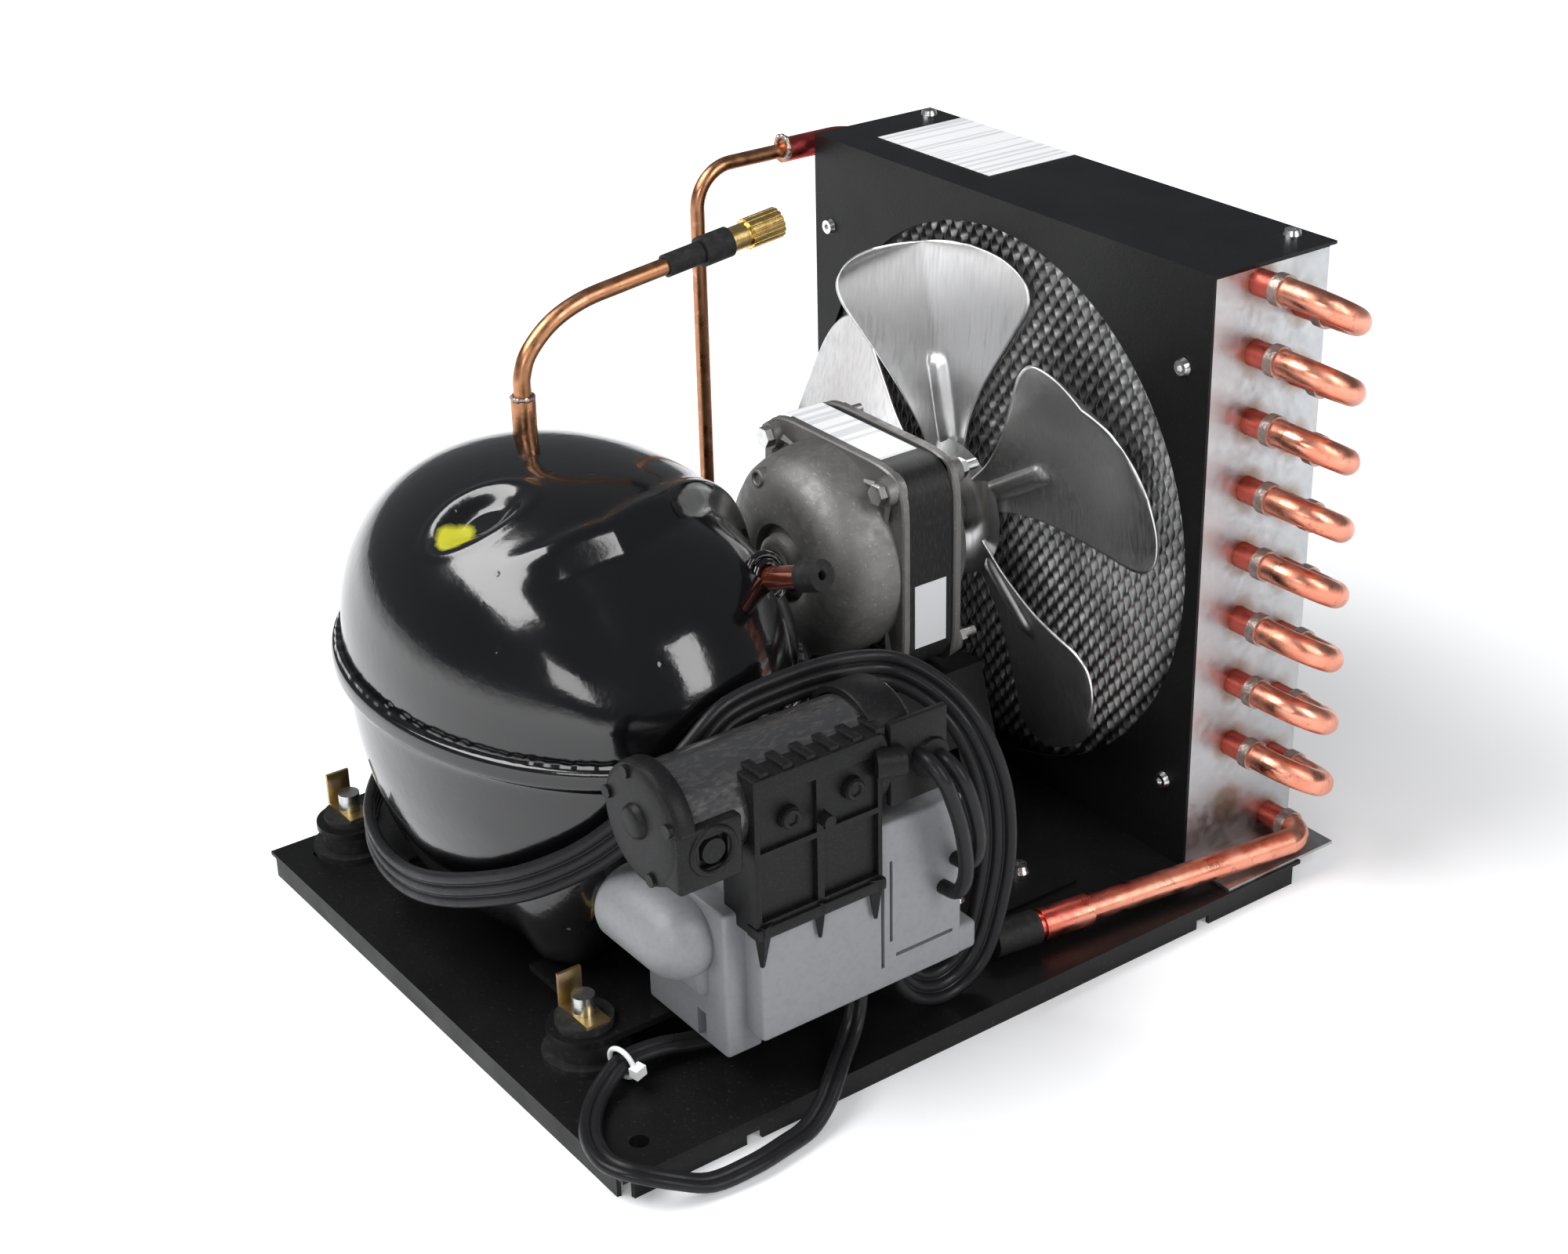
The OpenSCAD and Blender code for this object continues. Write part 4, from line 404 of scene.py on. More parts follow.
tie_nylon = new_finish("tie_nylon", (0.75, 0.76, 0.76), 0.4)
drift(tie_nylon, remap(tie_nylon, grain(tie_nylon, 400, 3), 0.4, 0.7, 0.0, 0.3), (0.62, 0.63, 0.65))

print("plastics and rubbers:", cover_grey.name, case_marbled.name, carrier_dull.name, rubber_black.name)

# %% [markdown]
# The motor's core is a stack of thin sheets under black varnish, so it shows fine bands along the axis.
# The parts inside the shells are never seen whole, yet each gets its own finish, for anyone who takes the
# unit apart.

# %% Cores, windings and pump
core_varnish = new_finish("core_varnish", (0.013, 0.013, 0.014), 0.34)
layers = add_node(core_varnish, "TexWave", wave_type="BANDS", bands_direction="Y")
layers.inputs["Scale"].default_value = 620
layers.inputs["Distortion"].default_value = 0.6
wire(core_varnish, where(core_varnish), layers.inputs["Vector"])
relief(core_varnish, layers.outputs["Fac"], 0.0001, 0.35)
stains = remap(core_varnish, grain(core_varnish, 300, 4, (1, 4, 1)), 0.5, 0.7, 0.0, 0.6)
drift(core_varnish, stains, (0.04, 0.035, 0.03))

winding_enamel = new_finish("winding_enamel", (0.45, 0.17, 0.06), 0.35, metal=0.6)
strands = remap(winding_enamel, grain(winding_enamel, 600, 3), 0.4, 0.6, 0.0, 0.7)
drift(winding_enamel, strands, (0.25, 0.09, 0.04))
pump_iron = new_finish("pump_iron", (0.3, 0.3, 0.3), 0.45, metal=1.0)
drift(pump_iron, remap(pump_iron, grain(pump_iron, 300, 4), 0.4, 0.7, 0.0, 0.7), (0.18, 0.18, 0.18))
bronze = new_finish("bronze", (0.42, 0.28, 0.14), 0.45, metal=1.0)
drift(bronze, remap(bronze, grain(bronze, 600, 4), 0.4, 0.7, 0.0, 0.7), (0.25, 0.16, 0.08))
muffler_ivory = new_finish("muffler_ivory", (0.6, 0.57, 0.48), 0.5)
oiled = remap(muffler_ivory, grain(muffler_ivory, 200, 4), 0.4, 0.7, 0.0, 0.5)
drift(muffler_ivory, oiled, (0.48, 0.45, 0.36))

DULL_SPECULAR = 0.18
for finish in (pan_satin, shroud_satin, carrier_dull, jacket_vinyl, rubber_black, core_varnish):
    shader_of(finish).inputs["Specular IOR Level"].default_value = DULL_SPECULAR
print("finishes:", len(bpy.data.materials))

# %% [markdown]
# The solids that keep their own form get their finish here. A solid's mesh is left alone, because other
# programs use it too, but a live Bevel modifier may round its edges, so that they catch the light as real
# folded or turned edges.

# %% Dress the solids
FINISHES = {
    pan_satin: ["base_plate", "foot_plates"],
    shroud_satin: ["shroud", "motor_bracket"],
    shell_gloss: ["compressor_lower_shell", "compressor_upper_shell"],
    galvanised: ["left_end_plate", "right_end_plate"],
    bend_copper: ["condenser_tubes", "return_bends", "condenser_outlet_line"],
    braze_metal: ["braze_rings"],
    line_copper: ["discharge_line", "service_line"],
    stub_lacquer: ["suction_stub"],
    cast_bell: ["motor_rear_bell", "motor_front_bell", "fan_hub", "compressor_rotor", "motor_rotor",
                "cylinder_head"],
    brushed_blade: ["fan_blades"],
    fin_sheet: ["condenser_fins"],
    plated: ["foot_studs", "shroud_screws", "motor_through_bolts", "motor_nuts", "bracket_screws",
             "motor_shaft", "valve_plate", "wrist_pin", "suspension_springs", "hermetic_terminal"],
    yellow_zinc: ["foot_clips"],
    brass: ["access_valve_body", "access_valve_core", "access_valve_cap"],
    cover_grey: ["terminal_cover"],
    case_marbled: ["start_capacitor"],
    carrier_dull: ["capacitor_carrier", "start_relay", "overload_protector"],
    jacket_vinyl: ["fan_lead", "jumper_lead", "capacitor_leads"],
    rubber_black: ["foot_grommets", "suction_cap", "outlet_cap", "service_sleeves"],
    tie_nylon: ["cable_tie"],
    core_varnish: ["motor_core", "stator_core"],
    winding_enamel: ["stator_windings", "motor_coil"],
    pump_iron: ["crankshaft", "cylinder_block", "connecting_rod", "piston"],
    bronze: ["motor_bushes"],
    muffler_ivory: ["suction_muffler"],
}
for finish, names in FINISHES.items():
    for name in names:
        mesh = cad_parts[name].data
        mesh.materials.clear()
        mesh.materials.append(finish)
print("dressed:", sum(len(names) for names in FINISHES.values()), "of", len(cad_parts))

# %% [markdown]
# No folded, turned or moulded edge is knife sharp. The widths below are the edge radii in mm: soft on
# rubber, fine on sheet metal. Only edges that turn by more than 40 degrees are rounded, so curved faces
# stay as they are.

# %% Soft edges
ROUNDED = {
    0.7: ["foot_grommets", "suction_cap", "outlet_cap"],
    0.5: ["access_valve_body", "access_valve_cap", "service_sleeves"],
    0.35: ["base_plate", "shroud", "motor_bracket", "left_end_plate", "right_end_plate", "foot_plates",
           "motor_core", "motor_nuts", "bracket_screws", "shroud_screws", "foot_studs", "foot_clips",
           "fan_hub"],
}
EDGE_ANGLE = math.radians(40)
for width, names in ROUNDED.items():
    for name in names:
        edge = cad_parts[name].modifiers.new("soft_edges", "BEVEL")
        edge.width = width * MM
        edge.segments = 2
        edge.limit_method = "ANGLE"
        edge.angle_limit = EDGE_ANGLE
        edge.harden_normals = False
print("rounded:", sum(len(names) for names in ROUNDED.values()), "nodes")

# %% [markdown]
# Most pieces below start as one flat grid that is wrapped onto its form: a place function says where each
# point of the grid goes. That keeps long, even rows of faces, which is what pressed, drawn and extruded
# parts need. The other helpers close the mesh, give it its finish and let it ride on the body of the part
# that it belongs to.

# %% Shape helpers
def mix(a, b, t):
    return a + (b - a) * t


def ease(low, high, value):
    """0 below low, 1 above high, and a smooth step between them."""
    t = min(max((value - low) / (high - low), 0.0), 1.0)
    return t * t * (3 - 2 * t)


def wrapped(across, along, place, closed=False, capped=False):
    """A grid of faces bent by place(u, v), with u and v from 0 to 1; closed joins its two sides."""
    bm = bmesh.new()
    bmesh.ops.create_grid(bm, x_segments=across, y_segments=along, size=1)
    for vert in bm.verts:
        vert.co = place((vert.co.x + 1) / 2, (vert.co.y + 1) / 2)
    if closed:
        bmesh.ops.remove_doubles(bm, verts=bm.verts, dist=1e-6)
    if capped:
        bmesh.ops.holes_fill(bm, edges=[edge for edge in bm.edges if edge.is_boundary], sides=0)
    bmesh.ops.recalc_face_normals(bm, faces=bm.faces)
    return bm


print("grid helpers ready: mix, ease and wrapped")

# %% [markdown]
# A finished mesh becomes an object of its own at the origin. It rides on a body, takes the place of the plain
# solids that it stands for, and gets its finish. Thin walls get their thickness from a modifier.

# %% Pieces
def join_in(bm, other):
    """Adds the faces of another bmesh."""
    spare = bpy.data.meshes.new("spare")
    other.to_mesh(spare)
    other.free()
    bm.from_mesh(spare)
    bpy.data.meshes.remove(spare)
    return bm


def piece(name, bm, finish, stands_for=(), body="chassis", angle=40):
    """Makes the object; faces that meet at more than angle degrees keep a sharp edge."""
    mesh = bpy.data.meshes.new(name)
    bm.to_mesh(mesh)
    bm.free()
    mesh.materials.append(finish)
    mesh.shade_smooth()
    mesh.set_sharp_from_angle(angle=math.radians(angle))
    obj = bpy.data.objects.new(name, mesh)
    bpy.context.scene.collection.objects.link(obj)
    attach(obj, body)
    if stands_for:
        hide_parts(*stands_for)
    print(name, len(mesh.polygons), "faces")
    return obj


def thicken(obj, thickness, offset=-1.0):
    """A wall grown inwards, or to both sides with an offset of 0."""
    solid = obj.modifiers.new("wall", "SOLIDIFY")
    solid.thickness = thickness
    solid.offset = offset


print("piece helpers ready: join_in, piece and thicken")

# %% [markdown]
# The compressor's shell is two pressed cups. In plan it is an ellipse; the dome's height follows a fuller
# curve than a circle. The press left an oval dimple for a tool and a low shoulder round the suction
# connection, with a crisp crease along its edge. Both are worked out as a depth that pushes the surface
# in along its normal.

# %% Dome sizes
COMP = Vector((-24, -72, 0)) * MM
SHELL_A, SHELL_B = 95 * MM, 72.5 * MM
SEAM_Z, DOME_H, DOME_START = 110 * MM, 71.5 * MM, 113 * MM
DOME_POWER, DOME_WALL, DOME_SKIRT = 2.3, 3 * MM, 7 * MM
SUCTION_ROOT = Vector((42.4, -32.8, 150.4))
STUB = SUCTION_ROOT - COMP / MM
CREASE = [(38, -44), (45, -30), (48.5, -8), (42, 18), (26, 48), (2, 92)]
DIMPLE, DIMPLE_WAY = Vector((8, -35.6, 174.8)), Vector((8.5, 31.8, 13.7)).normalized()
DIMPLE_LONG, DIMPLE_WIDE, DIMPLE_DEPTH, DIMPLE_RIM = 19, 12.5, 5.0, 0.45
SHOULDER_DEPTH, LIP_RISE, LIP_OFF, LIP_WIDE, STUB_CLEAR = 4.9, 1.5, 3.8, 3.2, 21
print("dome", round(2 * SHELL_A / MM), "by", round(2 * SHELL_B / MM), "mm, pressed", SHOULDER_DEPTH, "mm in")

# %% [markdown]
# The crease is a line of straight stretches in plan. What counts for the press is how far a point lies
# beside it, and on which side; the line runs on past the dome's edge, so that the sides never swap on the
# dome itself.

# %% Press marks
def beside_crease(x, y):
    """Distance in mm to the crease's line in plan, positive on the shoulder's side."""
    best = None
    for (x0, y0), (x1, y1) in zip(CREASE, CREASE[1:]):
        dx, dy = x1 - x0, y1 - y0
        t = min(max(((x - x0) * dx + (y - y0) * dy) / (dx * dx + dy * dy), 0), 1)
        away = math.hypot(x - x0 - t * dx, y - y0 - t * dy)
        side = 1 if (x - x0) * dy - (y - y0) * dx > 0 else -1
        if best is None or away < abs(best):
            best = side * away
    return best


def press_depth(x, y, z):
    """How far in mm the press pushed the dome in; x and y from its middle, z over the floor."""
    away = Vector((x, y, z)) - DIMPLE
    along = away.dot(DIMPLE_WAY)
    over = math.sqrt(max(away.length_squared - along * along, 0))
    d = math.hypot(along / DIMPLE_LONG, over / DIMPLE_WIDE)
    dimple = DIMPLE_DEPTH * (1 - ease(0.35, 1.0, d)) - DIMPLE_RIM * math.exp(-((d - 1.1) / 0.13) ** 2)
    s = beside_crease(x, y)
    off_stub = 1 - math.exp(-(math.hypot(x - STUB.x, y - STUB.y) / STUB_CLEAR) ** 2)
    fade = ease(-46, -26, y) * ease(120, 146, z) * off_stub
    shoulder = SHOULDER_DEPTH * ease(-1.5, 8, s) * (1 - 0.75 * ease(16, 46, s))
    lip = LIP_RISE * math.exp(-((s + LIP_OFF) / LIP_WIDE) ** 2)
    return dimple + (shoulder - lip) * fade


print("depth in the dimple's middle:", round(press_depth(*DIMPLE), 2), "mm")

# %% [markdown]
# The dome is a grid that goes once round and from the seam to the crown. Its last row closes in a pole. A
# short straight skirt is drawn down from the open edge into the collar, and the wall is grown inwards.

# %% Compressor dome
def dome_point(u, v):
    turn = 2 * math.pi * u
    lift = math.radians(90 * v)
    flat = math.cos(lift) ** (2 / DOME_POWER) if v < 1 else 0.0
    tall = math.sin(lift) ** (2 / DOME_POWER)
    height = DOME_H - (DOME_START - SEAM_Z)
    local = Vector((SHELL_A * flat * math.cos(turn), SHELL_B * flat * math.sin(turn), height * tall))
    out = Vector((local.x / SHELL_A ** 2, local.y / SHELL_B ** 2, local.z / height ** 2)).normalized()
    depth = press_depth(local.x / MM, local.y / MM, (local.z + DOME_START) / MM) * MM
    return COMP + local + Vector((0, 0, DOME_START)) - out * depth


dome_bm = wrapped(300, 140, dome_point, closed=True)
skirt = [edge for edge in dome_bm.edges if edge.is_boundary]
drop = bmesh.ops.extrude_edge_only(dome_bm, edges=skirt)["geom"]
lower = [part for part in drop if isinstance(part, bmesh.types.BMVert)]
bmesh.ops.translate(dome_bm, vec=(0, 0, -DOME_SKIRT), verts=lower)
dome = piece("compressor_dome", dome_bm, shell_gloss, ["compressor_upper_shell"])
thicken(dome, DOME_WALL)

# %% [markdown]
# The lower cup flares out at the seam into a collar that takes the dome, and a weld bead fills the corner
# between them. The bead isn't even, so its radius wanders with a little noise. The four legs are pressed
# out of the cup itself: near each one the profile changes smoothly into a fuller one that reaches down to
# the foot plates. A profile point is a share of the ellipse, an extra reach in mm and a height in mm.

# %% Compressor cup
CUP = [(0.0, 0, 23), (0.45, 0, 23), (0.6, 0, 23.2), (0.70, 0, 27.5), (0.765, 0, 33.5), (0.83, 0, 42),
       (0.885, 0, 52), (0.935, 0, 65), (0.972, 0, 80), (0.992, 0, 95), (1.0, 0, 101), (1.0, 0.6, 103.4),
       (1.0, 2.2, 104.6), (1.0, 3.6, 105.6), (1.0, 4.0, 107), (1.0, 4.0, 110.8), (1.0, 3.4, 112.2),
       (1.0, 2.2, 112.8), (1.0, 0.4, 112.4)]
LEG = [(0.0, 0, 23), (0.45, 0, 23), (0.62, 0, 22), (0.745, 0, 21.5), (0.80, 0, 24), (0.835, 0, 31),
       (0.87, 0, 42), (0.905, 0, 55), (0.945, 0, 70), (0.985, 0, 90), *CUP[10:]]
LEG_TURN, LEG_HALF, CUP_WALL = math.atan2(38 / 72.5, 50 / 95), 0.21, 2.6 * MM


def cup_point(u, v):
    spot = v * (len(CUP) - 1)
    k = min(int(spot), len(CUP) - 2)
    turn = 2 * math.pi * u
    off = abs(math.asin(min(abs(math.sin(turn)), 1.0)) - LEG_TURN)
    lobe = math.exp(-(off / LEG_HALF) ** 4)
    body = [mix(CUP[k][n], CUP[k + 1][n], spot - k) for n in range(3)]
    leg = [mix(LEG[k][n], LEG[k + 1][n], spot - k) for n in range(3)]
    share, rim, z = (mix(a, b, lobe) for a, b in zip(body, leg))
    a, b = SHELL_A * share + rim * MM, SHELL_B * share + rim * MM
    return COMP + Vector((a * math.cos(turn), b * math.sin(turn), z * MM))


cup_bm = wrapped(200, 3 * (len(CUP) - 1), cup_point, closed=True)
bmesh.ops.smooth_vert(cup_bm, verts=cup_bm.verts, factor=0.5,
                      use_axis_x=True, use_axis_y=True, use_axis_z=True)
cup = piece("compressor_cup", cup_bm, shell_gloss, ["compressor_lower_shell"])
thicken(cup, CUP_WALL)

# %% [markdown]
# The seam's bead is a ring of small round sections. One noise value per section sets its radius and lifts
# it a little, which gives the stacked look of a hand-fed weld.

# %% Seam weld
BEAD_Z, BEAD_OUT, BEAD_R, BEAD_LUMP, BEAD_NOISE = 112.9 * MM, 0.9 * MM, 1.7, 0.55, 22


def bead_point(u, v):
    turn, around = 2 * math.pi * v, 2 * math.pi * u
    lump = noise.noise(Vector((math.cos(turn) * BEAD_NOISE, math.sin(turn) * BEAD_NOISE, 0)))
    radius = (BEAD_R + BEAD_LUMP * lump) * MM
    reach = BEAD_OUT + radius * math.cos(around)
    rise = BEAD_Z + radius * 0.8 * math.sin(around) + 0.3 * MM * lump
    return COMP + Vector(((SHELL_A + reach) * math.cos(turn), (SHELL_B + reach) * math.sin(turn), rise))


piece("seam_weld", wrapped(8, 520, bead_point, closed=True), shell_gloss)

# %% [markdown]
# Where the fan lead's three cores leave the motor they lie side by side in one flat jacket. A lead is a
# flat outline carried along its route; the side that it shows is carried along too, without twist, as a
# real flat cable prefers.

# %% Routes
def smooth_route(points, steps):
    """A smooth line through points in mm, with steps between neighbours; the result is in metres."""
    p = [Vector(q) * MM for q in points]
    p = [2 * p[0] - p[1], *p, 2 * p[-1] - p[-2]]
    line = []
    for a, b, c, d in zip(p, p[1:], p[2:], p[3:]):
        for k in range(steps):
            t = k / steps
            line.append(0.5 * (2 * b + (c - a) * t + (2 * a - 5 * b + 4 * c - d) * t * t
                               + (3 * b - a - 3 * c + d) * t ** 3))
    return line + [p[-2]]


def carried(line, side):
    """(point, side, up) along a line, the side kept level with its last direction."""
    frames, side = [], Vector(side)
    for i, point in enumerate(line):
        ahead = (line[min(i + 1, len(line) - 1)] - line[max(i - 1, 0)]).normalized()
        side = (side - side.dot(ahead) * ahead).normalized()
        frames.append((point, side, ahead.cross(side)))
    return frames


print("route helpers ready: smooth_route and carried")

# %% [markdown]
# The outline of a flat lead is a row of round cores that melt into each other. The fan lead lies flat on
# the compressor for most of its way, so there its side follows the shell; past that point it is free
# again.

# %% Outlines and sweeps
def cores(count, pitch, radius, steps=8):
    """Closed outline of round cores side by side, in mm."""
    top = []
    for k in range(count):
        x = (k - (count - 1) / 2) * pitch
        first, last = (180 if k == 0 else 152), (0 if k == count - 1 else 28)
        for s in range(steps):
            a = math.radians(mix(first, last, s / (steps - 1)))
            top.append((x + radius * math.cos(a), radius * math.sin(a)))
    return top + [(-x, -y) for x, y in top[1:-1]]


def hugging(line, last):
    """Like carried, but flat against the compressor up to the point number last."""
    frames = []
    for i, point in enumerate(line[:last + 1]):
        ahead = (line[i + 1] - line[max(i - 1, 0)]).normalized()
        out = Vector(((point.x - COMP.x) / SHELL_A ** 2, (point.y - COMP.y) / SHELL_B ** 2, 0))
        side = ahead.cross(out).normalized()
        frames.append((point, side, ahead.cross(side)))
    return frames + carried(line[last:], frames[-1][1])[1:]


def swept(frames, outline):
    """The outline carried along the frames, with both ends closed."""
    n, last = len(outline), len(frames) - 1

    def place(u, v):
        x, y = outline[round(u * n) % n]
        point, side_way, up = frames[round(v * last)]
        return point + x * MM * side_way + y * MM * up

    return wrapped(n, last, place, closed=True, capped=True)


def length_of(line):
    return sum((b - a).length for a, b in zip(line, line[1:]))


print("sweep helpers ready: cores, hugging and swept")

# %% [markdown]
# The fan lead has three cores. It leaves the motor, passes round the compressor's far side and front, and
# ends under the grey cover after an open arc. Its points were chosen on the surfaces that carry it.

# %% Fan lead
FAN_LEAD = [(-13.5, 24.2, 86.5), (-13.5, 18.3, 78.4), (-17, 11, 66), (-26, 5.5, 57), (-42, 1, 50),
    (-62, -4.5, 46.5), (-82, -14.5, 45), (-97.5, -30, 45), (-107.5, -49, 44), (-111.5, -72, 43),
    (-107, -95, 42), (-94.5, -114, 41), (-75.5, -129.5, 38.5), (-53.5, -137.5, 38), (-31, -140.5, 40),
    (-8, -140.5, 46.5), (15, -135.8, 55.5), (37.5, -128.5, 67), (55, -116.5, 80), (67, -105, 94.5),
    (75, -97, 108), (77, -86.3, 119), (75.3, -72, 127), (75.3, -50, 129), (76.5, -30, 128.5),
    (81, -13, 126), (91, -4, 121), (101, 2, 112), (107, 7, 98), (110, 10.5, 80), (110, 11.5, 58),
    (109, 8, 36), (108, 3.5, 22.5), (107.3, -3.5, 16), (107, -12, 14.2), (106.4, -20.5, 17.5),
    (106, -26, 24), (106, -27, 29.5)]
HUG_LAST, STEPS = 24, 5
fan_line = smooth_route(FAN_LEAD, STEPS)
fan_lead = piece("fan_ribbon_lead", swept(hugging(fan_line, STEPS * HUG_LAST), cores(3, 4.3, 2.2)),
                 jacket_vinyl, ["fan_lead"])
tuple(fan_line[0])
length_of(fan_line)
[tuple(p) for p in fan_line]
print("fan lead:", round(length_of(fan_line) / MM), "mm")

# %% [markdown]
# The jumper is a twin lead that loops forward over the pan, held to the foot by a tie. The two short
# leads of the capacitor are single and limp, and hang in one bow from the can to the cover.

# %% Jumper and capacitor leads
JUMPER = [(108, -47, 29.5), (108.6, -47.9, 23.5), (111, -51.6, 17.2), (114.8, -57.3, 13.9),
    (119, -62.8, 13), (123.8, -68.8, 11.8), (128.4, -76.4, 7.6), (131.8, -85.5, 4.2), (134, -97, 4),
    (135.5, -110, 4), (134.5, -125, 4), (131.2, -137, 8.6), (124.8, -147, 12.2), (115.5, -151, 12.4),
    (104, -149, 12), (94, -143.5, 11.6), (85, -134.5, 12.5), (79.5, -122, 16), (79, -108, 15.5),
    (81.5, -95.5, 14), (84.5, -87, 14.5), (86.8, -80, 19), (87.8, -76.8, 24.5), (88, -76.5, 29.5)]
CAP_LEAD_A = [(117.8, -29, 116), (123.5, -28.8, 115.2), (127.8, -27.6, 111.3), (129.3, -25.3, 105),
    (129, -20.5, 91), (127.6, -17, 76), (126, -16.5, 66.8), (122, -16.5, 61.4), (115.1, -16.5, 60)]
CAP_LEAD_B = [(117.8, -21, 113), (123.5, -20.8, 112.2), (127.5, -19.4, 108.2), (128.8, -17.2, 102),
    (128.7, -14, 92), (127.5, -11.6, 82), (125.4, -11.2, 74.6), (121.6, -11.2, 70.3), (115.1, -11.2, 69)]

jumper_line = smooth_route(JUMPER, STEPS)
jumper = piece("jumper_twin_lead", swept(carried(jumper_line, (3, 2, 0)), cores(2, 3.6, 2.0)), jacket_vinyl,
               ["jumper_lead"])
tuple(jumper_line[0])
length_of(jumper_line)
[tuple(p) for p in jumper_line]
for name, route in (("capacitor_lead_front", CAP_LEAD_A), ("capacitor_lead_rear", CAP_LEAD_B)):
    line = smooth_route(route, 8)
    first = name == "capacitor_lead_front"
    lead = piece(name, swept(carried(line, (0, 1, 0)), cores(1, 0, 2.6, 9)), jacket_vinyl,
                 ["capacitor_leads"] if first else [])
    tuple(line[0])
    length_of(line)
    [tuple(p) for p in line]
    print(name, round(length_of(line) / MM), "mm")

# %% [markdown]
# Turned parts are a short list of radii and heights swung round an axis. Moulded blocks are cubes with
# bevelled edges, and rods are cones with two radii.

# %% Part helpers
AXLE = Vector((-13.5, 0, 121.4))


def turned(profile, centre, axis="Y", steps=72, fine=1):
    """A turned part; the profile lists (radius, height along the axis) in mm, fine cuts its stretches."""
    count = len(profile) - 1

    def place(u, v):
        k = min(int(v * count), count - 1)
        radius, height = (mix(profile[k][n], profile[k + 1][n], v * count - k) for n in range(2))
        a, b = radius * math.cos(2 * math.pi * u), radius * math.sin(2 * math.pi * u)
        local = {"X": (height, a, b), "Y": (a, height, b), "Z": (a, b, height)}[axis]
        return (Vector(centre) + Vector(local)) * MM

    return wrapped(steps, count * fine, place, closed=True)


def block(low, high, soft=0.5, segments=3):
    """A cube between two corners in mm, its edges rounded by soft."""
    bm = bmesh.new()
    bmesh.ops.create_cube(bm, size=1)
    for vert in bm.verts:
        vert.co = Vector([mix(low[k], high[k], vert.co[k] + 0.5) for k in range(3)]) * MM
    bmesh.ops.bevel(bm, geom=bm.edges[:], offset=soft * MM, segments=segments, profile=0.5, affect="EDGES",
                    material=-1)
    return bm


def rod(start, end, radius, end_radius=None, sides=32):
    """A round bar or cone between two points in mm."""
    bm = bmesh.new()
    a, b = Vector(start) * MM, Vector(end) * MM
    bmesh.ops.create_cone(bm, cap_ends=True, segments=sides, radius1=radius * MM, depth=(b - a).length,
                          radius2=(radius if end_radius is None else end_radius) * MM)
    bmesh.ops.transform(bm, matrix=(b - a).to_track_quat("Z", "Y").to_matrix().to_4x4(), verts=bm.verts)
    bmesh.ops.translate(bm, vec=(a + b) / 2, verts=bm.verts)
    return bm


print("part helpers ready: turned, block and rod")

# %% [markdown]
# A slot or a panel is sunk in three moves: the mesh is cut along the six planes of a box, the faces
# between them that look against the push are found, and they are extruded inwards. Then the parts of a
# piece are gathered.

# %% Sunk faces
def sink(bm, low, high, push):
    """Sinks the part of a face that lies between two corners, by push in mm."""
    for k in range(3):
        for edge in (low[k], high[k]):
            normal = Vector([1 if n == k else 0 for n in range(3)])
            bmesh.ops.bisect_plane(bm, geom=bm.verts[:] + bm.edges[:] + bm.faces[:], dist=1e-7,
                                   plane_co=normal * edge * MM, plane_no=normal)
    way = Vector(push).normalized()
    faces = [face for face in bm.faces if face.normal.dot(way) < -0.9
             and all(low[k] < face.calc_center_median()[k] / MM < high[k] for k in range(3))]
    made = bmesh.ops.extrude_face_region(bm, geom=faces)["geom"]
    moved = [part for part in made if isinstance(part, bmesh.types.BMVert)]
    bmesh.ops.translate(bm, vec=Vector(push) * MM, verts=moved)
    bmesh.ops.delete(bm, geom=faces, context="FACES")


def gathered(parts):
    """One bmesh out of several."""
    bm = parts[0]
    for part in parts[1:]:
        join_in(bm, part)
    return bm


print("part helpers ready: sink and gathered")

# %% [markdown]
# The suction stub is welded into the dome. The weld leaves two raised rings, one inside the other, under
# the same paint.

# %% Weld rings
STUB_TURN, STUB_RISE = math.radians(10), math.radians(20)
SUCTION_WAY = Vector((math.cos(STUB_TURN) * math.cos(STUB_RISE), math.sin(STUB_TURN) * math.cos(STUB_RISE),
                      math.sin(STUB_RISE)))


def ring_bead(root, way, radius, thick, lumps):
    """A ring round root, square to way; lumps is how much its thickness wanders, as a share."""
    side = way.orthogonal().normalized()
    other = way.cross(side)

    def place(u, v):
        turn, around = 2 * math.pi * v, 2 * math.pi * u
        swell = thick * (1 + lumps * noise.noise(Vector((math.cos(turn) * 3, math.sin(turn) * 3, radius))))
        reach = radius + swell * math.cos(around)
        spoke = side * math.cos(turn) + other * math.sin(turn)
        return (root + way * swell * math.sin(around) + spoke * reach) * MM

    return wrapped(10, 90, place, closed=True)


stub_rings = gathered([ring_bead(SUCTION_ROOT - SUCTION_WAY * 0.6, SUCTION_WAY, 8.2, 1.3, 0.3),
                       ring_bead(SUCTION_ROOT + SUCTION_WAY * 0.2, SUCTION_WAY, 5.4, 1.5, 0.15)])
piece("suction_weld_rings", stub_rings, shell_gloss)

# %% [markdown]
# The service line is thin copper, bent by hand without a former, so its curve is a free one. It is brazed
# into a wider socket on the dome, and every brazed joint keeps a dull ring of filler.

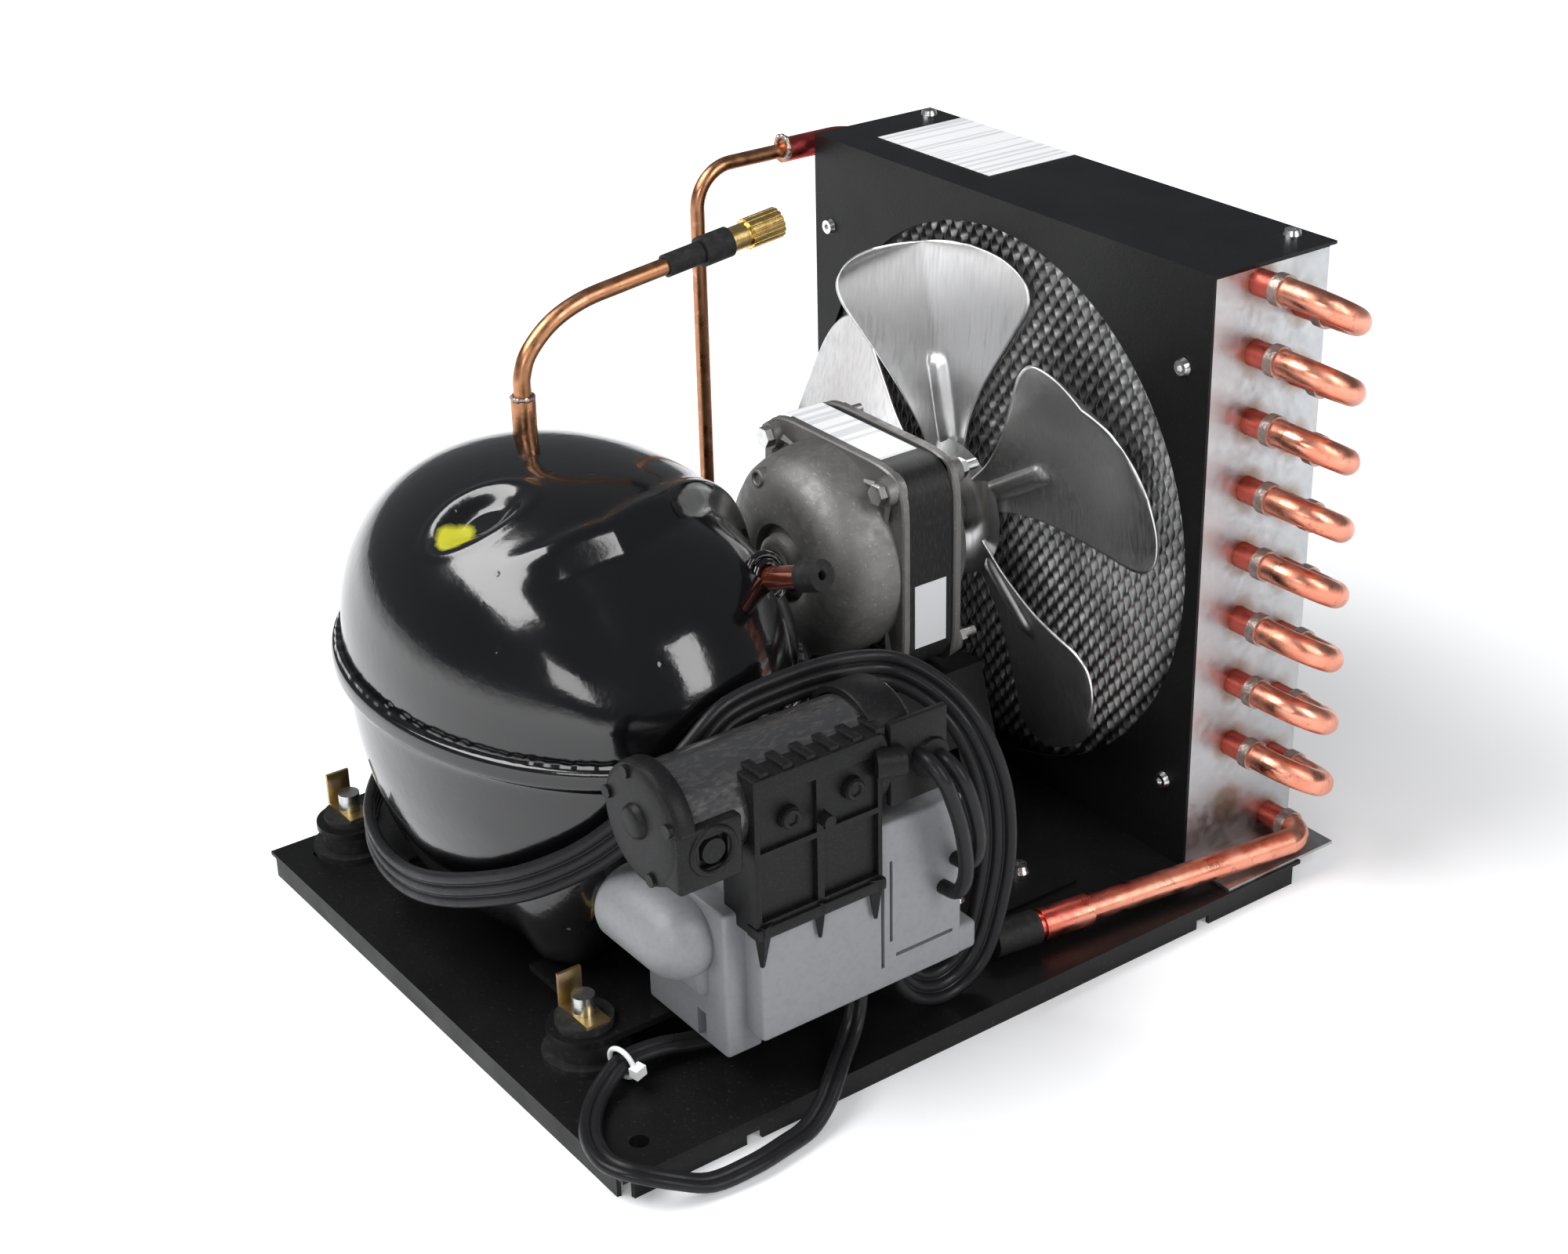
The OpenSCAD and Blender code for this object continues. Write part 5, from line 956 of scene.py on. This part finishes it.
# %% Service line
SERVICE_X, SERVICE_Y = -58.2, -63.3
SOCKET = [(3.2, 191.4), (4.1, 191.6), (4.4, 190.6), (4.35, 180), (4.6, 176.5), (5.2, 172)]
SERVICE_R, SOCKET_TOP, DISCHARGE_JOINT = 3.15, 191.6, (-128, 101, 234)
SERVICE_SIDE_VIEW = [(SERVICE_Y, 184), (SERVICE_Y, 193), (-63, 199.5), (-59.5, 207.5), (-50, 216),
                     (-37, 221.2), (-20, 223.7), (-6, 225.4), (12, 227.6), (25, 229.2)]
service_line = smooth_route([(SERVICE_X, y, z) for y, z in SERVICE_SIDE_VIEW], 8)
service_bm = gathered([swept(carried(service_line, (1, 0, 0)), cores(1, 0, SERVICE_R, 14)),
                       turned(SOCKET, (SERVICE_X, SERVICE_Y, 0), axis="Z", fine=2)])
piece("service_line_tube", service_bm, line_copper, ["service_line"])
up, toward = Vector((0, 0, 1)), Vector((0, -1, 0))
filler_bm = gathered([ring_bead(Vector((SERVICE_X, SERVICE_Y, SOCKET_TOP)), up, 3.7, 0.9, 0.5),
                      ring_bead(Vector(DISCHARGE_JOINT), toward, 4.2, 1.1, 0.5)])
piece("filler_rings", filler_bm, braze_metal)

# %% [markdown]
# The motor's end bells are cast. Each is a deep round dome on a square flange with rounded corners; four
# lugs take the through bolts, and pointed ribs tie the lugs to the dome. The rear one has a sunk bearing
# seat in the middle.

# %% Motor end bells
BOLT, FLANGE_HALF, FLANGE_THICK, LUG_DEEP = 33.75, 41.8, 3.5, 6.8
REAR_BELL = [(5.2, 17), (5.2, 11.2), (8.6, 10.6), (10.4, 11.4), (11.4, 15.4), (14.2, 15.8), (15, 12.8),
             (18, 12.0), (24, 12.2), (29.5, 13.4), (34, 16), (37.2, 20), (39, 25), (40, 31), (40.5, 36),
             (40.7, 40)]
FRONT_BELL = [(5.2, 78), (5.2, 80.0), (9.2, 80.2), (10, 78.2), (20, 77.4), (28, 75.6), (33.5, 72.4),
              (37, 68.5), (39, 64.5), (40.2, 60)]


def flange(near, far, half):
    """Square plate with rounded corners, open in the middle, lying across the motor's axis."""
    inner, edge = 30, 0.6
    layers = [(inner, near), (half - edge, near), (half, near + edge), (half, far - edge), (half - edge, far),
              (inner, far)]

    def place(u, v):
        reach, y = layers[round(v * (len(layers) - 1))]
        turn = 2 * math.pi * u
        across, up = math.cos(turn), math.sin(turn)
        square = [reach * math.copysign(abs(value) ** (2 / 7), value) for value in (across, up)]
        return (AXLE + Vector((square[0], y, square[1]))) * MM

    return wrapped(120, len(layers) - 1, place, closed=True)


def bell(profile, seat, way):
    """A bell that seats on the core at seat and reaches away from it; way is -1 for the rear one."""
    far = seat + FLANGE_THICK * way
    parts = [turned(profile, AXLE, fine=2), flange(min(seat, far), max(seat, far), FLANGE_HALF)]
    for side_x in (-1, 1):
        for side_z in (-1, 1):
            lug = AXLE + Vector((side_x * BOLT, seat, side_z * BOLT))
            parts.append(rod(lug, lug + Vector((0, LUG_DEEP * way, 0)), 6.2, 5.0))
            for inward in (Vector((-side_x, 0, 0)), Vector((0, 0, -side_z))):
                start, end = lug + Vector((0, 3.2 * way, 0)), lug + inward * 17 + Vector((0, 5.5 * way, 0))
                parts.append(rod(start, end, 2.2, 0.3, sides=4))
    return gathered(parts)


OIL_BOSS_ROOT, OIL_BOSS_TOP = Vector((-27, 19, 149)), Vector((-27.4, 13.8, 150))
oil_ring = ring_bead(OIL_BOSS_TOP, Vector((0, -1, 0.1)).normalized(), 2.7, 0.9, 0)
rear_bell_bm = gathered([bell(REAR_BELL, 40, -1), rod(OIL_BOSS_ROOT, OIL_BOSS_TOP, 4.6, 3.9), oil_ring])
piece("rear_bell", rear_bell_bm, cast_bell, ["motor_rear_bell"])
piece("front_bell", bell(FRONT_BELL, 60, 1), cast_bell, ["motor_front_bell"])

# %% [markdown]
# Fan blades are stamped from one aluminium sheet. Each blade widens to a rounded tip, is twisted so that
# one edge leads, and has a pressed rib that stiffens it near the hub. The outline comes from the angles
# of both edges.

# %% Fan blades
FAN_Y, FAN_R, BLADES, FIRST_BLADE = 94.3, 101, 5, 103
PITCH_RISE, CAMBER, RIB_DEEP, RIB_HALF, BLADE_THICK = 13, 2.5, 3.0, 3.1, 1.1 * MM
FAN_SPIDER = [(9.2, 93.6), (22, 93.6), (26, 94.3), (22, 94.6), (9.2, 94.6)]
REACH = [0.2, 0.32, 0.46, 0.6, 0.74, 0.86, 0.94, 0.985, 1.0]
LEAD_EDGE = [20, 17, 18, 20, 22.5, 24, 22.5, 17, 9]
TRAIL_EDGE = [20, 19, 22, 26, 29, 30.5, 28, 21, 11]
RISE = [0.16, 0.28, 0.46, 0.66, 0.84, 0.96, 0.98, 0.86, 0.62]


def at(table, spot):
    """Value of a table between its entries, on a smooth curve."""
    k = min(int(spot), len(table) - 2)
    a, b, c, d = (table[min(max(k + n, 0), len(table) - 1)] for n in (-1, 0, 1, 2))
    t = spot - k
    bend, twist = 2 * a - 5 * b + 4 * c - d, 3 * b - a - 3 * c + d
    return 0.5 * (2 * b + (c - a) * t + bend * t * t + twist * t ** 3)


def blade(middle):
    """One blade round the angle middle, in degrees; v runs from the hub to the tip."""
    def place(u, v):
        spot = v * (len(REACH) - 1)
        across = 1 - 2 * u
        r = FAN_R * at(REACH, spot)
        turn = across * (at(LEAD_EDGE, spot) if across > 0 else at(TRAIL_EDGE, spot))
        y = -PITCH_RISE * across * at(RISE, spot) + CAMBER * (1 - across * across)
        beside = r * math.sin(math.radians(turn))
        rib = ease(22, 27, r) * (1 - ease(54, 60, r)) * math.exp(-(beside / RIB_HALF) ** 4)
        angle = math.radians(middle + turn)
        return (AXLE + Vector((r * math.cos(angle), FAN_Y + y - RIB_DEEP * rib, r * math.sin(angle)))) * MM

    return wrapped(56, 72, place)


fan_bm = gathered([blade(FIRST_BLADE - k * 360 / BLADES) for k in range(BLADES)] + [turned(FAN_SPIDER, AXLE)])
fan = piece("fan_blade_set", fan_bm, brushed_blade, ["fan_blades"], body="fan_rotor")
thicken(fan, BLADE_THICK, 0.0)

# %% [markdown]
# Paper labels are thin plates just off the surface. They stay blank but for a few plain grey bars.

# %% Labels
label_paper = new_finish("label_paper", (0.82, 0.83, 0.84), 0.5)
drift(label_paper, remap(label_paper, grain(label_paper, 420, 0, (1, 0.02, 0.02)), 0.5, 0.56, 0.0, 0.5),
      (0.45, 0.46, 0.48))
relief(label_paper, grain(label_paper, 300, 2), 0.00004, 0.3)
LABELS = {
    "on the shroud": ((-102, 128, 238.62), (-35, 171, 238.8)),
    "on the core's top": ((-48, 41.8, 161.75), (9, 58.2, 161.98)),
    "on the core's side": ((26.85, 42.8, 93), (27.1, 57.2, 118)),
}
label_bm = gathered([block(low, high, 0.05, 1) for low, high in LABELS.values()])
piece("blank_labels", label_bm, label_paper)

# %% [markdown]
# The grey cover is moulded: a box with generously rounded edges, a lower step at its side, and a round
# bulge over the start relay's coil. Three thin slots, a step near the far end and a notch in the side
# break up its faces.

# %% Terminal cover
COVER_X, SLOT_DEEP = 115, 1.6
box_bm = block((74, -90, 29.5), (COVER_X, -8, 92.5), 1.5, 4)
sink(box_bm, (110, -42.2, 38), (120, -40.8, 71), (-SLOT_DEEP, 0, 0))
sink(box_bm, (110, -38.6, 47), (120, -37.4, 78), (-SLOT_DEEP, 0, 0))
sink(box_bm, (110, -36, 40.4), (120, -12, 41.8), (-1.8, 0, 0))
side_bm = block((60, -98, 21.5), (106, -84, 76), 1.4, 4)
sink(side_bm, (89, -99, 20), (94, -97, 33), (0, 7, 0))
BULGE = [(0, 57.2), (10.5, 57.2), (13.2, 58.2), (14, 60.4), (14, 86), (13.6, 90), (12.2, 94.2), (9.6, 97.6),
         (6, 99.7), (2.6, 100.6), (0, 100.8)]
bulge_bm = turned(BULGE, (0, -103, 61.5), axis="X", fine=2)
skirt_bm = block((61, -101, 40), (96, -94, 62), 3, 4)
step_bm = block((92, -12, 29.5), (COVER_X - 0.2, -1, 40.6), 2, 3)
piece("cover_shell", gathered([box_bm, side_bm, bulge_bm, skirt_bm, step_bm]), cover_grey,
      ["terminal_cover"], angle=50)

# %% [markdown]
# The start capacitor is a glossy moulded tube with a slightly wider rim at each end. It is one turned
# profile; its ends are closed, because a view from the side sees them.

# %% Start capacitor
CAN = Vector((97, 0, 114.35))
CAN_PROFILE = [(0, -118), (16.4, -118), (17.9, -117), (18.2, -115), (17.7, -111), (17.7, -31), (18.2, -29),
               (17.9, -26.5), (16, -25.4), (0, -25.4)]
piece("capacitor_can", turned(CAN_PROFILE, CAN, fine=2), case_marbled, ["start_capacitor"])

# %% [markdown]
# A dark moulded carrier grips the can with a cup at the near end, which has four small lugs round its
# rim, and with a strap at the far end. An arm with a round window comes forward from the cup.

# %% Carrier's cup, strap and arm
HOLDER = [(0, -121.6), (17.6, -121.6), (20, -120.6), (20.7, -118.8), (20.7, -114.6), (20.2, -113.6),
          (18.3, -113.4)]
BUTTON = [(0, -124), (4.2, -124), (5.4, -123.2), (6.2, -121)]
STRAP = [(18.3, -43.4), (20.3, -43.2), (20.8, -42.4), (20.8, -30), (20.3, -29), (18.3, -28.8)]
LUG_TURNS, LUG_REACH = (20, 110, 165, 290), 17.5
FORWARD = Vector((1, 0, 0))
carrier_parts = [turned(HOLDER, CAN, fine=2), turned(BUTTON, CAN + Vector((-1.5, 0, 1))), turned(STRAP, CAN)]
for turn in LUG_TURNS:
    out = Vector((math.cos(math.radians(turn)), 0, math.sin(math.radians(turn))))
    start = CAN + out * LUG_REACH + Vector((0, -122.6, 0))
    carrier_parts.append(rod(start, start + Vector((0, 7.5, 0)), 2.3, 2.0, 8))
arm_bm = block((97, -121, 98), (117.6, -97, 119.5), 1.6, 3)
sink(arm_bm, (113, -113.5, 105), (121, -103, 115.5), (-2.2, 0, 0))
carrier_parts += [arm_bm, ring_bead(Vector((117.4, -108.3, 110.5)), FORWARD, 7.6, 1.3, 0),
                  rod((115.5, -108.3, 110.5), (117.9, -108.3, 110.5), 4.6, 4.2)]
print("carrier so far:", len(carrier_parts), "parts")

# %% [markdown]
# The carrier's frame sits in front of the can, on the cover. It is a plate with four sunk panels, so that
# ribs stay between them; two hollow bosses and a peg stand on it.

# %% Carrier's panel and bosses
PANEL_X = 117.4
BOSSES = ((-79.3, 111), (-54.6, 112.3))
panel_bm = block((99, -93, 71), (PANEL_X, -43, 128), 0.8, 2)
for low_y, high_y in ((-91, -69.2), (-66.6, -45)):
    sink(panel_bm, (112, low_y, 77), (121, high_y, 100), (-2.1, 0, 0))
    sink(panel_bm, (112, low_y, 102), (121, high_y, 121), (-1.7, 0, 0))
carrier_parts.append(panel_bm)
for y, z in BOSSES:
    carrier_parts += [rod((114, y, z), (PANEL_X + 1, y, z), 4.2, 3.9),
                      ring_bead(Vector((PANEL_X + 0.9, y, z)), FORWARD, 2.6, 1.0, 0)]
carrier_parts += [rod((112, -66.8, 106.4), (121.4, -66.8, 106.4), 2.6, 2.2),
                  rod((99, -40, 103), (99, -17, 103), 3, 3, 12),
                  block((114.8, -40, 100), (117.6, -17, 130), 0.7, 2)]
print("carrier so far:", len(carrier_parts), "parts")

# %% [markdown]
# Pointed buttresses run down from the frame's lower ledge onto the cover, round posts hold the leads at
# the far end, and a row of teeth along the top keeps the can from turning.

# %% Carrier's buttresses and teeth
BUTTRESSES = (((116.4, -90, 76), (116.2, -90.5, 60), 3.4), ((116.4, -67.8, 76), (116.2, -67.8, 62), 3),
              ((116.4, -46, 76), (116.2, -45.5, 60), 3.4))
TOOTH_PITCH, TOOTH_LONG = 9, 4
for top, tip, radius in BUTTRESSES:
    carrier_parts.append(rod(top, tip, radius, 0.8, 4))
carrier_parts += [block((112, -93.6, 71), (118.6, -42.4, 75.4), 0.8, 2),
                  rod((117, -46, 118), (121, -37, 118), 5.4, 4.6),
                  rod((116.8, -24, 113), (119, -24, 113), 7.5, 6.8)]
for low_y in range(-90, -44, TOOTH_PITCH):
    carrier_parts.append(block((106, low_y, 126.5), (116.4, low_y + TOOTH_LONG, 129.6), 0.6, 2))
piece("carrier_frame", gathered(carrier_parts), carrier_dull, ["capacitor_carrier"])

# %% [markdown]
# The coil's fins are thin aluminium plates with rippled edges: the ripples stiffen the sheet and stir the
# air. In the picture they show as rows of short bright dashes behind the fan. One fin is a grid that
# waves in and out; the loop makes the others the same way, side by side, with a little unevenness from
# handling.

# %% Condenser fins
FIN_COUNT, FIN_LEFT, FIN_RIGHT = 73, -119.3, 95.2
FIN_NEAR, FIN_FAR, FIN_LOW, FIN_HIGH, FIN_THICK = 120.6, 166.2, 13.2, 236.4, 0.22 * MM
RIPPLE_PITCH, RIPPLE, SCALLOP, HANDLED = 7.8, 0.8, 0.12, 0.35


def fin(number):
    x = mix(FIN_LEFT, FIN_RIGHT, number / (FIN_COUNT - 1))
    wander = random.uniform(-0.25, 0.25)
    phase = (number % 2) * math.pi

    def place(u, v):
        y, z = mix(FIN_NEAR, FIN_FAR, u), mix(FIN_LOW, FIN_HIGH, v)
        wave, edge = z / RIPPLE_PITCH * 2 * math.pi, abs(2 * u - 1)
        ripple = RIPPLE * math.sin(wave + phase) * (0.3 + 0.7 * edge)
        scallop = SCALLOP * math.sin(wave) * (1 if u > 0.5 else -1) * edge
        bent = wander + HANDLED * noise.noise(Vector((number * 3.1, z / 30, 0)))
        return Vector((x + ripple + bent, y + scallop, z)) * MM

    return wrapped(3, 168, place)


fins_bm = fin(0)
for number in range(1, FIN_COUNT):
    join_in(fins_bm, fin(number))
fins = piece("rippled_fins", fins_bm, fin_sheet, ["condenser_fins"])
thicken(fins, FIN_THICK, 0.0)

# %% [markdown]
# The stage is a pale floor that runs off to white: it glows a little, and more so further out, which
# hides the horizon and still keeps the unit's shadow.

# %% Floor
FLOOR_HALF, GLOW_NEAR, GLOW_FAR = 6, 0.15, 0.9
paper = new_finish("paper", (0.93, 0.935, 0.945), 0.9)
drift(paper, remap(paper, grain(paper, 3, 2), 0.3, 0.7, 0.0, 0.3), (0.91, 0.92, 0.935))
beyond = [sums(paper, "MULTIPLY", axis_value(paper, axis), axis_value(paper, axis)) for axis in ("X", "Y")]
beyond = sums(paper, "SQRT", sums(paper, "ADD", *beyond))
shader_of(paper).inputs["Emission Color"].default_value = (1, 1, 1, 1)
vary(paper, "Emission Strength", remap(paper, beyond, GLOW_NEAR, GLOW_FAR, 0.12, 0.8))
floor_bm = bmesh.new()
bmesh.ops.create_grid(floor_bm, x_segments=2, y_segments=2, size=FLOOR_HALF)
floor_mesh = bpy.data.meshes.new("floor")
floor_bm.to_mesh(floor_mesh)
floor_bm.free()
floor = bpy.data.objects.new("floor", floor_mesh)
floor_mesh.materials.append(paper)
bpy.context.scene.collection.objects.link(floor)
print("floor:", 2 * FLOOR_HALF, "m across")

# %% [markdown]
# The light is a large soft box over the front left, a tall narrow one on the right and a weak fill, as a
# product studio uses for shiny black parts. On gloss paint the boxes show as clear bright patches, so
# their shape matters as much as their power.

# %% Lights
LIGHTS = [("key", (-0.35, -0.75, 1.25), (0, 0, 0.1), (1.1, 0.8), 24),
          ("side", (1.3, 0.35, 0.9), (0, 0, 0.12), (0.5, 1.1), 12),
          ("front", (0.9, -1.2, 0.7), (0, 0, 0.1), (0.7, 0.5), 6)]
for name, place, target, size, power in LIGHTS:
    data = bpy.data.lights.new(name, "AREA")
    data.shape = "RECTANGLE"
    data.size, data.size_y = size
    data.energy = power
    lamp = bpy.data.objects.new(name, data)
    lamp.location = place
    lamp.rotation_euler = (Vector(target) - Vector(place)).to_track_quat("-Z", "Y").to_euler()
    bpy.context.scene.collection.objects.link(lamp)
    print(name, power, "W")

# %% [markdown]
# The world is dim and slightly blue where it lights the unit, and plain white where the camera looks
# straight at it. The Light Path node tells the two apart.

# %% World
DIM, WHITE = 0.18, 1.0
world = bpy.data.worlds.new("studio")
bpy.context.scene.world = world
world.use_nodes = True
tree = world.node_tree
ray = tree.nodes.new("ShaderNodeLightPath")
soft = tree.nodes["Background"]
soft.inputs["Color"].default_value = (0.9, 0.94, 1.0, 1)
soft.inputs["Strength"].default_value = DIM
plain = tree.nodes.new("ShaderNodeBackground")
plain.inputs["Color"].default_value = (1, 1, 1, 1)
plain.inputs["Strength"].default_value = WHITE
both = tree.nodes.new("ShaderNodeMixShader")
tree.links.new(ray.outputs["Is Camera Ray"], both.inputs["Fac"])
tree.links.new(soft.outputs["Background"], both.inputs[1])
tree.links.new(plain.outputs["Background"], both.inputs[2])
tree.links.new(both.outputs["Shader"], tree.nodes["World Output"].inputs["Surface"])

print("world: strength", DIM, "on the unit,", WHITE, "behind it")

# %% [markdown]
# The camera stands where the photographer stood. Its place, turn and focal length were solved from points
# of the coil, whose tube pitch is known, so the lines of the unit fall where they fall in the photograph.

# %% Camera
camera_data = bpy.data.cameras.new("camera")
camera_data.lens = 58.80
camera_data.sensor_width = 36
camera_data.shift_x = -0.00893
camera_data.shift_y = -0.02903
camera_data.clip_start = 0.01
camera = bpy.data.objects.new("camera", camera_data)
camera.location = (0.667514, -0.473874, 0.521485)
camera.rotation_euler = [math.radians(a) for a in (64.0348, 1.0994, 53.4832)]
bpy.context.scene.collection.objects.link(camera)
bpy.context.scene.camera = camera
bpy.context.scene.view_settings.view_transform = "Standard"
print("camera:", round(camera.location.length, 3), "m from the origin")

# %% [markdown]
